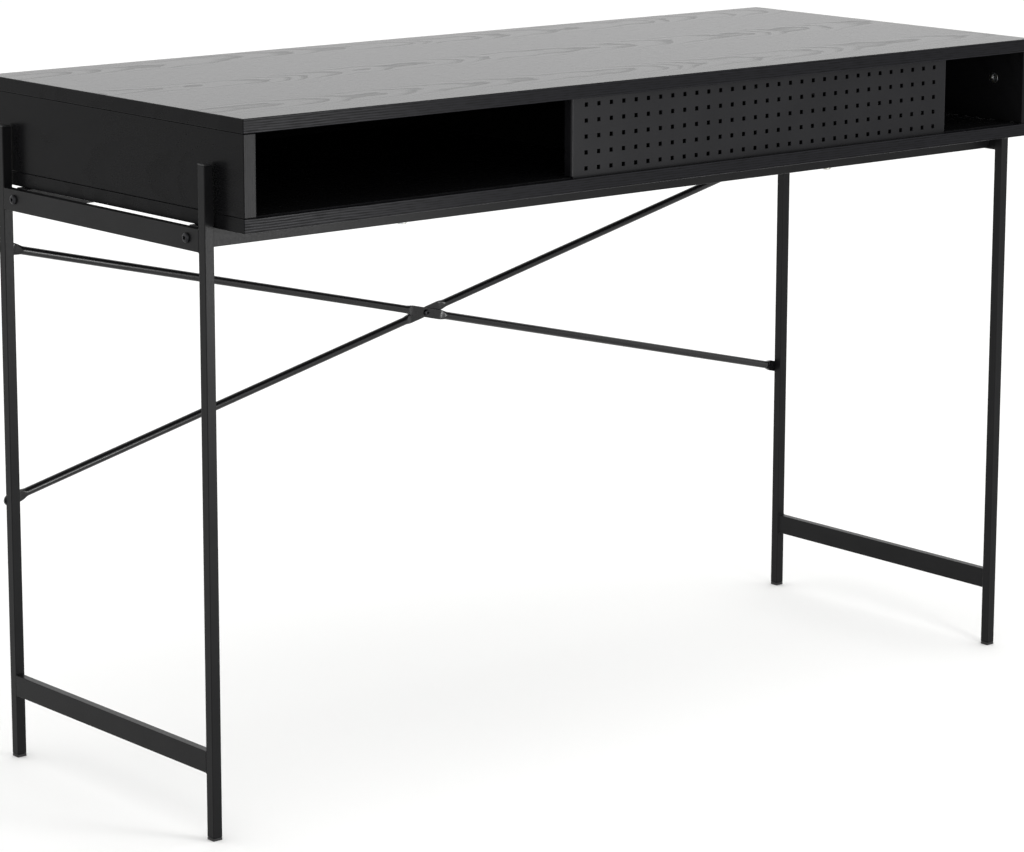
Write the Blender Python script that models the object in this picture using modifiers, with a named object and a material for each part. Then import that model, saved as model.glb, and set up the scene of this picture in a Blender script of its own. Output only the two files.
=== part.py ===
"""Writing desk: a flat wooden case with two open compartments and a perforated sliding door,
carried by a steel frame of square legs, flat rails and a crossed brace at the back.

Metres, +Z up, front towards -Y. The origin is on the floor, under the middle of the case.
"""

import math

import bmesh
import bpy
from mathutils import Matrix, Vector

# Overall sizes of the desk
CASE_WIDTH = 1.219
CASE_DEPTH = 0.500
CASE_HEIGHT = 0.122
DESK_HEIGHT = 0.800

# Clearances
TOUCH = 0.0003  # left between two pieces that touch
BOLT_SLACK = 0.0003  # round a bolt or screw in its hole, on the radius
SLIDE_SLACK = 0.001  # between the door's returns and the boards above and below

# Boards of the case
BOARD = 0.016
BACK_BOARD = 0.016
BACK_REBATE = 0.003  # how far the back board stands into the top and bottom boards
EASED_EDGE = 0.0008  # rounding of every board's edges

# Sliding door: a folded sheet that runs in grooves of the top and bottom boards
DOOR_WIDTH = 0.611
DOOR_REST_X = 0.157  # middle of the door when the desk is at rest
DOOR_SHEET = 0.0015
DOOR_SETBACK = 0.008  # door's face behind the front edges of the boards
DOOR_RETURN = 0.012  # depth of the folded side edges
DOOR_BEND = 0.0025  # outer radius of the folds
DOOR_BITE = 0.0045  # how far the sheet stands up into the top groove
DIVIDER_SLACK = 0.002  # between the door's returns and the divider
GROOVE_WIDTH = 0.0035
BOTTOM_GROOVE = 0.005
TOP_GROOVE = 0.010  # deep enough to lift the door out of the bottom groove
LIP_DROP = 0.001  # bottom board's lip, in front of the groove, below the floor behind it

# Square holes of the door
HOLE_SIDE = 0.005
HOLE_PITCH = 0.0186
HOLE_MARGIN_X = 0.022  # door's edge to the middle of the first column
HOLE_MARGIN_Z = 0.0086  # bottom board to the middle of the lowest row

# Cam locks in the side panels, with their dowels in the top board
CAM_RADIUS = 0.0075
CAM_PAST_DOWEL = 0.0045  # dowel's axis to the cam's blind end
CAM_EDGE = 0.050  # case's front or back edge to the cam
CAM_DROP = 0.037  # top board's underside to the cam's axis
CAM_SLOT = 0.0080
CAM_SLOT_FLOOR = 0.0025
DOWEL_SHANK = 0.0025
DOWEL_HEAD = 0.0034
DOWEL_THREAD = 0.0030
DOWEL_BITE = 0.008

# Countersunk screws up through the bottom board
BOARD_SCREW_EDGE = 0.030  # case's front or back edge to the screw
BOARD_SCREW_LENGTH = 0.050
BOARD_SCREW_NECK = 0.0035
BOARD_SCREW_CORE = 0.0025
BOARD_SCREW_HEAD = 0.0050
BOARD_SCREW_CONE = 0.0030
DIVIDER_SCREW_EDGE = 0.120

# Legs
LEG = 0.012
LEG_WALL = 0.0012
LEG_GAP = 0.0035  # case's side to the legs' inner faces
FRONT_LEG_SETBACK = 0.050  # case's front edge to the front legs' front faces
BACK_LEG_SETBACK = 0.043  # case's back edge to the back legs' back faces
UPSTAND = 0.070  # legs' tops above the case's underside
GLIDE_HEIGHT = 0.003
CAP_HEIGHT = 0.0018
PLUG_STEM = 0.010

# Side rails, flat tubes between the front and the back leg
RAIL_HEIGHT = 0.025
RAIL_THICKNESS = 0.010
RAIL_WALL = 0.0012
UPPER_RAIL_DROP = 0.001  # case's underside to the upper rails' tops
LOWER_RAIL_FLOOR = 0.0755  # floor to the lower rails' undersides

# Cross rails under the case
CROSS_HEIGHT = 0.024
CROSS_THICKNESS = 0.020
CROSS_WALL = 0.0015
CROSS_PLATE = 0.005  # thickness of the threaded end plates
CROSS_OFFSET = 0.0215  # leg's face to the middle of the cross rail

# Crossed brace: rods with flattened ends on the back legs' back faces, and flattened middles
ROD_RADIUS = 0.005
STRAP = 0.003  # thickness where a rod is flattened
TAB_WIDTH = 0.014
TAB_END = 0.001  # tab's rounded tip beyond the leg's outer face
TAB_FLAT = 0.0066  # how far a tab stays flat past the leg's inner face
WAIST_WIDTH = 0.0125
WAIST_SHARE = 0.83  # how far the flat middle reaches towards the far corner of the lap
WAIST_SWELL_SHARE = 0.46  # the same measure for the length over which it turns round
SWELL = 0.012  # length over which a rod's end turns from flat to round
BRACE_DROP = 0.0723  # case's underside to the upper bolts
BRACE_FLOOR = 0.308  # floor to the lower bolts

# Bolts, screws and nuts of the frame
FRAME_BOLT_RADIUS = 0.003
FRAME_BOLT_HEAD = 0.0057
FRAME_BOLT_DOME = 0.0033
CASE_SCREW_RADIUS = 0.002
CASE_SCREW_HEAD = 0.0055
CASE_SCREW_DOME = 0.0030
CASE_SCREW_BITE = 0.012
CASE_SCREW_SPACING = 0.666
BRACE_BOLT_RADIUS = 0.0025
BRACE_BOLT_HEAD = 0.0043
BRACE_BOLT_DOME = 0.0026
NUT_ACROSS_FLATS = 0.008
NUT_HEIGHT = 0.004
INSERT_RADIUS = 0.0034  # threaded inserts of the back legs
INSERT_LENGTH = 0.007
INSERT_COLLAR = 0.002  # length of the collar that grips the leg's wall from inside
THREAD_END = 0.001  # bolt's end past its nut or insert

# How finely round shapes are divided
FINE_SIDES = 12
HOLE_SIDES = 12
ROD_SIDES = 12

# Places worked out from the sizes above
CASE_TOP = DESK_HEIGHT
CASE_FLOOR = DESK_HEIGHT - CASE_HEIGHT
INNER_FLOOR = CASE_FLOOR + BOARD
INNER_TOP = CASE_TOP - BOARD
HALF_WIDTH = CASE_WIDTH / 2
HALF_DEPTH = CASE_DEPTH / 2
INNER_X = HALF_WIDTH - BOARD
PANEL_MIDDLE = HALF_WIDTH - BOARD / 2
BACK_INNER = HALF_DEPTH - BACK_BOARD

DOOR_FACE = -HALF_DEPTH + DOOR_SETBACK
DOOR_MIDDLE = DOOR_FACE + DOOR_SHEET / 2
DOOR_BACK = DOOR_FACE + DOOR_RETURN
DOOR_BOTTOM = INNER_FLOOR - BOTTOM_GROOVE + TOUCH
DOOR_TOP = INNER_TOP + DOOR_BITE
DOOR_Z = (DOOR_BOTTOM + DOOR_TOP) / 2

LEG_INNER = HALF_WIDTH + LEG_GAP
LEG_OUTER = LEG_INNER + LEG
LEG_X = LEG_INNER + LEG / 2
FRONT_LEG_Y = -HALF_DEPTH + FRONT_LEG_SETBACK + LEG / 2
BACK_LEG_Y = HALF_DEPTH - BACK_LEG_SETBACK - LEG / 2
LEG_TOP = CASE_FLOOR + UPSTAND

RAIL_INNER = LEG_OUTER - RAIL_THICKNESS
RAIL_FRONT = FRONT_LEG_Y + LEG / 2 + TOUCH
RAIL_BACK = BACK_LEG_Y - LEG / 2 - TOUCH
UPPER_RAIL_TOP = CASE_FLOOR - UPPER_RAIL_DROP
CROSS_TOP = CASE_FLOOR - TOUCH
CROSS_Z = CROSS_TOP - CROSS_HEIGHT / 2
CROSS_END = RAIL_INNER - TOUCH
CROSS_Y = {
    "front": FRONT_LEG_Y + LEG / 2 + CROSS_OFFSET,
    "back": BACK_LEG_Y - LEG / 2 - CROSS_OFFSET,
}
CAM_Y = {"front": -HALF_DEPTH + CAM_EDGE, "back": HALF_DEPTH - CAM_EDGE}
CAM_Z = INNER_TOP - CAM_DROP
CAM_DEPTH = BOARD / 2 + CAM_PAST_DOWEL
BOARD_SCREW_Y = {
    "front": -HALF_DEPTH + BOARD_SCREW_EDGE,
    "back": HALF_DEPTH - BOARD_SCREW_EDGE,
}
DIVIDER_SCREW_Y = {
    "front": -HALF_DEPTH + DIVIDER_SCREW_EDGE,
    "back": HALF_DEPTH - DIVIDER_SCREW_EDGE,
}

BRACE_TOP = CASE_FLOOR - BRACE_DROP
BRACE_MIDDLE = (BRACE_TOP + BRACE_FLOOR) / 2
LEG_BACK = BACK_LEG_Y + LEG / 2
TAB_Y = LEG_BACK + TOUCH + STRAP / 2

SIDES = {"left": -1, "right": 1}
ENDS = ("front", "back")
LEG_Y = {"front": FRONT_LEG_Y, "back": BACK_LEG_Y}


def clear_scene():
    for old in list(bpy.data.objects):
        bpy.data.objects.remove(old, do_unlink=True)


def new_collection(name):
    collection = bpy.data.collections.new(name)
    bpy.context.scene.collection.children.link(collection)
    return collection


clear_scene()
PARTS = new_collection("writing_desk")
CUTTERS = new_collection("cutters")
CUTTERS.hide_render = True


def finish(name, colour, roughness, metallic=0.0):
    """A plain Principled material."""
    material = bpy.data.materials.new(name)
    material.use_nodes = True
    shader = material.node_tree.nodes["Principled BSDF"]
    shader.inputs["Base Color"].default_value = (*colour, 1.0)
    shader.inputs["Roughness"].default_value = roughness
    shader.inputs["Metallic"].default_value = metallic
    return material


VENEER = finish("black_ash_veneer", (0.022, 0.022, 0.023), 0.42)
POWDER_COAT = finish("black_powder_coat", (0.020, 0.020, 0.021), 0.48)
DOOR_COAT = finish("door_powder_coat", (0.024, 0.024, 0.026), 0.50)
BLACK_STEEL = finish("black_oxide_steel", (0.018, 0.018, 0.019), 0.40, 0.6)
ZINC = finish("zinc_plated_steel", (0.60, 0.61, 0.63), 0.30, 1.0)
BLACK_PLASTIC = finish("black_plastic", (0.015, 0.015, 0.016), 0.55)


def add_object(name, mesh, material, location=(0, 0, 0), collection=PARTS):
    part = bpy.data.objects.new(name, mesh)
    part.location = location
    collection.objects.link(part)
    if material is not None:
        mesh.materials.append(material)
    return part


def mesh_from(name, bm):
    mesh = bpy.data.meshes.new(name)
    bm.to_mesh(mesh)
    bm.free()
    return mesh


def box(name, low, high, material, collection=PARTS):
    """A block between two corners, with its origin in its middle."""
    low, high = Vector(low), Vector(high)
    bm = bmesh.new()
    bmesh.ops.create_cube(bm, size=1.0)
    bmesh.ops.scale(bm, vec=high - low, verts=bm.verts)
    return add_object(name, mesh_from(name, bm), material, (low + high) / 2, collection)


def along(axis):
    """The turn that lays +Z on an axis."""
    return Vector((0, 0, 1)).rotation_difference(Vector(axis)).to_matrix().to_4x4()


def turned(name, outline, material, base, axis):
    """A turned piece: (radius, height) points up its outside, standing on base along axis."""
    bm = bmesh.new()
    points = [bm.verts.new((radius, 0, height)) for radius, height in reversed(outline)]
    for upper, lower in zip(points, points[1:]):
        bm.edges.new((upper, lower))
    part = add_object(name, mesh_from(name, bm), material)
    part.matrix_world = Matrix.Translation(base) @ along(axis)
    screw = part.modifiers.new("turn", "SCREW")
    screw.steps = screw.render_steps = FINE_SIDES
    screw.use_merge_vertices = True
    screw.merge_threshold = 0.00005
    screw.use_smooth_shade = True
    return part


def cut(part, cutter):
    """Takes a cutter's shape out of a part."""
    cutter.hide_render = True
    cutter.display_type = "WIRE"
    boolean = part.modifiers.new("cut", "BOOLEAN")
    boolean.operation = "DIFFERENCE"
    boolean.solver = "EXACT"
    boolean.object = cutter
    return part


def cut_box(part, low, high):
    return cut(part, box(part.name + "_slot", low, high, None, CUTTERS))


def cut_hole(part, start, axis, radius, length, mouth=None):
    """A round hole from start along axis. A mouth radius opens its start as a cone."""
    bm = bmesh.new()
    bmesh.ops.create_cone(
        bm, cap_ends=True, segments=HOLE_SIDES, radius1=mouth or radius, radius2=radius, depth=length,
        matrix=Matrix.Translation((0, 0, length / 2)),
    )
    mesh = mesh_from(part.name + "_hole", bm)
    cutter = add_object(part.name + "_hole", mesh, None, collection=CUTTERS)
    cutter.matrix_world = Matrix.Translation(start) @ along(axis)
    return cut(part, cutter)


def ease_edges(part, width=EASED_EDGE, segments=2):
    bevel = part.modifiers.new("eased_edges", "BEVEL")
    bevel.width = width
    bevel.segments = segments
    bevel.limit_method = "ANGLE"
    return part


def tube(name, low, high, wall, axis, material):
    """A rectangular tube between two corners, open at both ends along axis (0, 1 or 2)."""
    part = box(name, low, high, material)
    ease_edges(part)
    inner_low = [value + wall for value in low]
    inner_high = [value - wall for value in high]
    inner_low[axis] = low[axis] - wall
    inner_high[axis] = high[axis] + wall
    return cut_box(part, inner_low, inner_high)


# ---------------------------------------------------------------- case

def build_boards():
    """Top and bottom boards, with the door's grooves and the holes of their fasteners."""
    top = ease_edges(box(
        "top_board",
        (-HALF_WIDTH, -HALF_DEPTH, INNER_TOP), (HALF_WIDTH, HALF_DEPTH, CASE_TOP), VENEER,
    ))
    bottom = ease_edges(box(
        "bottom_board",
        (-HALF_WIDTH, -HALF_DEPTH, CASE_FLOOR), (HALF_WIDTH, HALF_DEPTH, INNER_FLOOR), VENEER,
    ))
    near, far = DOOR_MIDDLE - GROOVE_WIDTH / 2, DOOR_MIDDLE + GROOVE_WIDTH / 2
    over = BOARD / 2
    cut_box(top, (-INNER_X, near, INNER_TOP - over), (INNER_X, far, INNER_TOP + TOP_GROOVE))
    cut_box(bottom, (-INNER_X, near, INNER_FLOOR - BOTTOM_GROOVE), (INNER_X, far, INNER_FLOOR + over))
    cut_box(
        bottom, (-INNER_X, -HALF_DEPTH - over, INNER_FLOOR - LIP_DROP),
        (INNER_X, DOOR_MIDDLE, INNER_FLOOR + over),
    )
    rebate = BACK_INNER - TOUCH
    cut_box(
        top, (-INNER_X, rebate, INNER_TOP - over), (INNER_X, HALF_DEPTH + over, INNER_TOP + BACK_REBATE),
    )
    cut_box(
        bottom, (-INNER_X, rebate, INNER_FLOOR - BACK_REBATE),
        (INNER_X, HALF_DEPTH + over, INNER_FLOOR + over),
    )
    for side in SIDES.values():
        for end in ENDS:
            cut_hole(
                top, (side * PANEL_MIDDLE, CAM_Y[end], INNER_TOP - over), (0, 0, 1),
                DOWEL_THREAD + BOLT_SLACK, over + DOWEL_BITE + TOUCH,
            )
            screw_holes(bottom, side * PANEL_MIDDLE, BOARD_SCREW_Y[end])
            cut_hole(
                bottom, (side * CASE_SCREW_SPACING / 2, CROSS_Y[end], CASE_FLOOR - over), (0, 0, 1),
                CASE_SCREW_RADIUS + BOLT_SLACK, over + CASE_SCREW_BITE + TOUCH,
            )
    for end in ENDS:
        screw_holes(bottom, 0, DIVIDER_SCREW_Y[end])


def screw_holes(board, x, y):
    """A countersunk hole through the bottom board for a screw at (x, y)."""
    cut_hole(
        board, (x, y, CASE_FLOOR - BOARD), (0, 0, 1), BOARD_SCREW_NECK + BOLT_SLACK, 3 * BOARD,
    )
    # the cone passes through the head's rim at the board's underside
    slope = (BOARD_SCREW_HEAD - BOARD_SCREW_NECK) / BOARD_SCREW_CONE
    over = 0.001
    cut_hole(
        board, (x, y, CASE_FLOOR - over), (0, 0, 1), BOARD_SCREW_NECK + BOLT_SLACK,
        BOARD_SCREW_CONE + over + TOUCH, BOARD_SCREW_HEAD + BOLT_SLACK + slope * over,
    )


def build_panels():
    """Side panels between the boards, bored for the cams, their dowels and the screws."""
    low_z, high_z = INNER_FLOOR + TOUCH, INNER_TOP - TOUCH
    over = 0.004
    for name, side in SIDES.items():
        inner, outer = sorted((side * INNER_X, side * HALF_WIDTH))
        panel = ease_edges(box(
            "side_panel_" + name, (inner, -HALF_DEPTH, low_z), (outer, HALF_DEPTH, high_z), VENEER,
        ))
        for end in ENDS:
            cut_hole(
                panel, (side * (INNER_X - over), CAM_Y[end], CAM_Z), (side, 0, 0),
                CAM_RADIUS + BOLT_SLACK, over + CAM_DEPTH + TOUCH,
            )
            cut_hole(
                panel, (side * PANEL_MIDDLE, CAM_Y[end], high_z + over), (0, 0, -1),
                DOWEL_SHANK + 2 * BOLT_SLACK, over + CAM_DROP,
            )
            cut_hole(
                panel, (side * PANEL_MIDDLE, BOARD_SCREW_Y[end], low_z - over), (0, 0, 1),
                BOARD_SCREW_CORE + BOLT_SLACK, over + BOARD_SCREW_LENGTH - BOARD,
            )


def build_inner_boards():
    """The back board and the divider that parts the case into two compartments."""
    low_z, high_z = INNER_FLOOR + TOUCH, INNER_TOP - TOUCH
    ease_edges(box(
        "back_board", (-INNER_X + TOUCH, BACK_INNER, low_z - BACK_REBATE),
        (INNER_X - TOUCH, HALF_DEPTH, high_z + BACK_REBATE), VENEER,
    ))
    divider = ease_edges(box(
        "centre_divider",
        (-BOARD / 2, DOOR_BACK + DIVIDER_SLACK, low_z), (BOARD / 2, BACK_INNER - TOUCH, high_z), VENEER,
    ))
    over = 0.004
    for end in ENDS:
        cut_hole(
            divider, (0, DIVIDER_SCREW_Y[end], low_z - over), (0, 0, 1),
            BOARD_SCREW_CORE + BOLT_SLACK, over + BOARD_SCREW_LENGTH - BOARD,
        )


def board_screw(name, x, y):
    """A countersunk screw with a thick neck, driven up through the bottom board."""
    turned(
        name,
        [
            (0, 0), (BOARD_SCREW_HEAD, 0), (BOARD_SCREW_NECK, BOARD_SCREW_CONE),
            (BOARD_SCREW_NECK, BOARD - TOUCH), (BOARD_SCREW_CORE, BOARD - TOUCH),
            (BOARD_SCREW_CORE, BOARD_SCREW_LENGTH - 2 * BOARD_SCREW_CORE), (0, BOARD_SCREW_LENGTH - TOUCH),
        ],
        ZINC, (x, y, CASE_FLOOR), (0, 0, 1),
    )


def build_case_fasteners():
    """Cam locks with their dowels, and the screws of the bottom board."""
    for name, side in SIDES.items():
        for end in ENDS:
            place = f"{end}_{name}"
            y = CAM_Y[end]
            cam = turned(
                "cam_lock_" + place,
                [(0, 0), (CAM_RADIUS, 0), (CAM_RADIUS, CAM_DEPTH), (0, CAM_DEPTH)],
                ZINC, (side * INNER_X, y, CAM_Z), (side, 0, 0),
            )
            # the slot that takes the dowel's head, open upwards
            slot = sorted((side * (INNER_X + CAM_SLOT_FLOOR), side * (HALF_WIDTH + BOARD)))
            cut_box(
                cam, (slot[0], y - CAM_SLOT / 2, CAM_Z - DOWEL_HEAD - BOLT_SLACK),
                (slot[1], y + CAM_SLOT / 2, CAM_Z + 2 * CAM_RADIUS),
            )
            turned(
                "cam_dowel_" + place,
                [
                    (0, -DOWEL_HEAD), (DOWEL_HEAD * 0.7, -DOWEL_HEAD * 0.7), (DOWEL_HEAD, 0),
                    (DOWEL_SHANK, DOWEL_HEAD), (DOWEL_SHANK, CAM_DROP + TOUCH),
                    (DOWEL_THREAD, CAM_DROP + TOUCH), (DOWEL_THREAD, CAM_DROP + DOWEL_BITE - TOUCH),
                    (0, CAM_DROP + DOWEL_BITE - TOUCH),
                ],
                ZINC, (side * PANEL_MIDDLE, y, CAM_Z), (0, 0, 1),
            )
            board_screw("board_screw_" + place, side * PANEL_MIDDLE, BOARD_SCREW_Y[end])
    for end in ENDS:
        board_screw("divider_screw_" + end, 0, DIVIDER_SCREW_Y[end])


# ---------------------------------------------------------------- sliding door

def door_outline():
    """The folded sheet seen from above: right return, face, left return, as its outer line."""
    half = DOOR_WIDTH / 2
    front = DOOR_FACE - DOOR_MIDDLE
    back = DOOR_BACK - DOOR_MIDDLE
    points = [(half, back)]
    for step in range(5):
        turn = math.radians(90) * step / 4
        points.append((
            half - DOOR_BEND + DOOR_BEND * math.cos(turn),
            front + DOOR_BEND - DOOR_BEND * math.sin(turn),
        ))
    return points + [(-x, y) for x, y in reversed(points)]


def build_door():
    """The perforated door, its origin on the line that it slides along."""
    height = DOOR_TOP - DOOR_BOTTOM
    bm = bmesh.new()
    line = [bm.verts.new((x, y, -height / 2)) for x, y in door_outline()]
    edges = [bm.edges.new(pair) for pair in zip(line, line[1:])]
    raised = bmesh.ops.extrude_edge_only(bm, edges=edges)["geom"]
    bmesh.ops.translate(
        bm, vec=(0, 0, height), verts=[item for item in raised if isinstance(item, bmesh.types.BMVert)],
    )
    bmesh.ops.recalc_face_normals(bm, faces=bm.faces)
    facing = sum(face.normal.y * face.calc_area() for face in bm.faces if abs(face.normal.y) > 0.9)
    if facing > 0:
        bmesh.ops.reverse_faces(bm, faces=bm.faces)
    door = add_object(
        "sliding_door", mesh_from("sliding_door", bm), DOOR_COAT, (DOOR_REST_X, DOOR_MIDDLE, DOOR_Z),
    )
    sheet = door.modifiers.new("sheet", "SOLIDIFY")
    sheet.thickness = DOOR_SHEET
    sheet.offset = -1
    cut(door, door_notches())
    cut(door, door_holes())
    return door


def door_notches():
    """Four corner blocks that shorten the returns, so that only the flat sheet runs in the grooves."""
    bm = bmesh.new()
    over = 0.004
    depth = DOOR_RETURN + 2 * over
    for side in SIDES.values():
        for limit, away in ((INNER_FLOOR + SLIDE_SLACK, -1), (INNER_TOP - SLIDE_SLACK, 1)):
            reach = TOP_GROOVE + SLIDE_SLACK + over
            width = DOOR_BEND + over
            block = bmesh.ops.create_cube(bm, size=1.0)["verts"]
            bmesh.ops.scale(bm, vec=(width, depth, reach), verts=block)
            middle = (
                DOOR_REST_X + side * (DOOR_WIDTH / 2 - DOOR_BEND + width / 2),
                DOOR_FACE + DOOR_RETURN / 2, limit + away * reach / 2,
            )
            bmesh.ops.translate(bm, vec=middle, verts=block)
    return add_object("door_notches", mesh_from("door_notches", bm), None, collection=CUTTERS)


def door_holes():
    """The grid of square holes, spread evenly between the margins."""
    reach_x = DOOR_WIDTH - 2 * HOLE_MARGIN_X
    reach_z = INNER_TOP - INNER_FLOOR - 2 * HOLE_MARGIN_Z
    columns = 1 + round(reach_x / HOLE_PITCH)
    rows = 1 + round(reach_z / HOLE_PITCH)
    bm = bmesh.new()
    for column in range(columns):
        for row in range(rows):
            x = DOOR_REST_X - reach_x / 2 + reach_x * column / (columns - 1)
            z = INNER_FLOOR + HOLE_MARGIN_Z + reach_z * row / (rows - 1)
            hole = bmesh.ops.create_cube(bm, size=1.0)["verts"]
            bmesh.ops.scale(bm, vec=(HOLE_SIDE, 4 * DOOR_SHEET, HOLE_SIDE), verts=hole)
            bmesh.ops.translate(bm, vec=(x, DOOR_MIDDLE, z), verts=hole)
    return add_object("door_holes", mesh_from("door_holes", bm), None, collection=CUTTERS)


# ---------------------------------------------------------------- steel frame

def plug(name, x, y, base, top, stem_end):
    """A square plastic plug: a plate as wide as the leg, with a stem inside the tube."""
    half = LEG / 2
    stem = half - LEG_WALL - TOUCH
    plate = ease_edges(box(name, (x - half, y - half, base), (x + half, y + half, top), BLACK_PLASTIC))
    low, high = sorted(((base + top) / 2, stem_end))
    core = box(name + "_stem", (x - stem, y - stem, low), (x + stem, y + stem, high), None, CUTTERS)
    core.hide_render = True
    core.display_type = "WIRE"
    join = plate.modifiers.new("stem", "BOOLEAN")
    join.operation = "UNION"
    join.solver = "EXACT"
    join.object = core


def build_legs():
    """Four legs of square tube, each with a glide below and a cap on top."""
    half = LEG / 2
    for name, side in SIDES.items():
        for end in ENDS:
            place = f"{end}_{name}"
            x, y = side * LEG_X, LEG_Y[end]
            leg = tube(
                "leg_" + place, (x - half, y - half, GLIDE_HEIGHT + TOUCH),
                (x + half, y + half, LEG_TOP - CAP_HEIGHT - TOUCH), LEG_WALL, 2, POWDER_COAT,
            )
            if end == "back":
                for z in (BRACE_TOP, BRACE_FLOOR):
                    cut_hole(
                        leg, (x, y + LEG, z), (0, -1, 0), INSERT_RADIUS + BOLT_SLACK, LEG,
                    )
            plug("glide_" + place, x, y, 0, GLIDE_HEIGHT, GLIDE_HEIGHT + PLUG_STEM)
            plug("cap_" + place, x, y, LEG_TOP - CAP_HEIGHT, LEG_TOP, LEG_TOP - CAP_HEIGHT - PLUG_STEM)


def build_side_rails():
    """An upper and a lower rail on each side, flush with the legs' outer faces."""
    for name, side in SIDES.items():
        near, far = sorted((side * RAIL_INNER, side * LEG_OUTER))
        upper = tube(
            "upper_rail_" + name, (near, RAIL_FRONT, UPPER_RAIL_TOP - RAIL_HEIGHT),
            (far, RAIL_BACK, UPPER_RAIL_TOP), RAIL_WALL, 1, POWDER_COAT,
        )
        for end in ENDS:
            cut_hole(
                upper, (side * (RAIL_INNER - RAIL_THICKNESS), CROSS_Y[end], CROSS_Z), (side, 0, 0),
                FRAME_BOLT_RADIUS + BOLT_SLACK, 3 * RAIL_THICKNESS,
            )
        tube(
            "lower_rail_" + name, (near, RAIL_FRONT, LOWER_RAIL_FLOOR),
            (far, RAIL_BACK, LOWER_RAIL_FLOOR + RAIL_HEIGHT), RAIL_WALL, 1, POWDER_COAT,
        )


def build_cross_rails():
    """Two rails under the case, with an end plate welded into each end of the tube."""
    half = CROSS_THICKNESS / 2
    inner = half - CROSS_WALL
    for end in ENDS:
        y = CROSS_Y[end]
        rail = ease_edges(box(
            "cross_rail_" + end, (-CROSS_END, y - half, CROSS_TOP - CROSS_HEIGHT),
            (CROSS_END, y + half, CROSS_TOP), POWDER_COAT,
        ))
        hollow = CROSS_END - CROSS_PLATE
        cut_box(
            rail, (-hollow, y - inner, CROSS_TOP - CROSS_HEIGHT + CROSS_WALL),
            (hollow, y + inner, CROSS_TOP - CROSS_WALL),
        )
        for side in SIDES.values():
            cut_hole(
                rail, (side * (CROSS_END - 2 * CROSS_PLATE), y, CROSS_Z), (side, 0, 0),
                FRAME_BOLT_RADIUS + BOLT_SLACK, 3 * CROSS_PLATE,
            )
            cut_hole(
                rail, (side * CASE_SCREW_SPACING / 2, y, CROSS_TOP - 2 * CROSS_HEIGHT), (0, 0, 1),
                CASE_SCREW_RADIUS + BOLT_SLACK, 3 * CROSS_HEIGHT,
            )


def headed_bolt(name, radius, head, dome, length, material, seat, axis):
    """A bolt with a domed head on seat and its shank running along axis."""
    outline = [(0, -dome)]
    outline += [(head * 0.55, -dome * 0.88), (head * 0.88, -dome * 0.5), (head, -TOUCH), (radius, -TOUCH)]
    outline += [(radius, length), (0, length)]
    turned(name, outline, material, seat, axis)


def hex_nut(name, seat, axis):
    """A hexagon nut that stands on seat along axis."""
    bm = bmesh.new()
    corner = NUT_ACROSS_FLATS / 2 / math.cos(math.radians(30))
    bmesh.ops.create_cone(
        bm, cap_ends=True, segments=6, radius1=corner, radius2=corner, depth=NUT_HEIGHT,
        matrix=Matrix.Translation((0, 0, NUT_HEIGHT / 2)),
    )
    nut = add_object(name, mesh_from(name, bm), BLACK_STEEL)
    nut.matrix_world = Matrix.Translation(seat) @ along(axis)
    start = Vector(seat) - NUT_HEIGHT * Vector(axis)
    cut_hole(nut, start, axis, BRACE_BOLT_RADIUS + BOLT_SLACK, 3 * NUT_HEIGHT)


def build_frame_fasteners():
    """Bolts through the upper rails into the cross rails, and screws up into the case."""
    for name, side in SIDES.items():
        for end in ENDS:
            place = f"{end}_{name}"
            headed_bolt(
                "frame_bolt_" + place, FRAME_BOLT_RADIUS, FRAME_BOLT_HEAD, FRAME_BOLT_DOME,
                RAIL_THICKNESS + TOUCH + CROSS_PLATE + THREAD_END, BLACK_STEEL,
                (side * LEG_OUTER, CROSS_Y[end], CROSS_Z), (-side, 0, 0),
            )
            headed_bolt(
                "case_screw_" + place, CASE_SCREW_RADIUS, CASE_SCREW_HEAD, CASE_SCREW_DOME,
                CROSS_HEIGHT + TOUCH + CASE_SCREW_BITE, ZINC,
                (side * CASE_SCREW_SPACING / 2, CROSS_Y[end], CROSS_TOP - CROSS_HEIGHT), (0, 0, 1),
            )


# ---------------------------------------------------------------- crossed brace

def section(centre, wide, thin, half_wide, half_thin, roundness):
    """A ring of points: an ellipse at roundness 2, nearer a rectangle above it."""
    ring = []
    for step in range(ROD_SIDES):
        turn = 2 * math.pi * (step + 0.5) / ROD_SIDES
        across = math.copysign(abs(math.cos(turn)) ** (2 / roundness), math.cos(turn))
        through = math.copysign(abs(math.sin(turn)) ** (2 / roundness), math.sin(turn))
        ring.append(centre + wide * (half_wide * across) + thin * (half_thin * through))
    return ring


def flattened(share, width):
    """Half width, half thickness and roundness, from round (share 0) to flat (share 1)."""
    eased = share * share * (3 - 2 * share)
    return (
        ROD_RADIUS + (width / 2 - ROD_RADIUS) * eased,
        ROD_RADIUS + (STRAP / 2 - ROD_RADIUS) * eased,
        2 + 6 * eased,
    )


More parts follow.
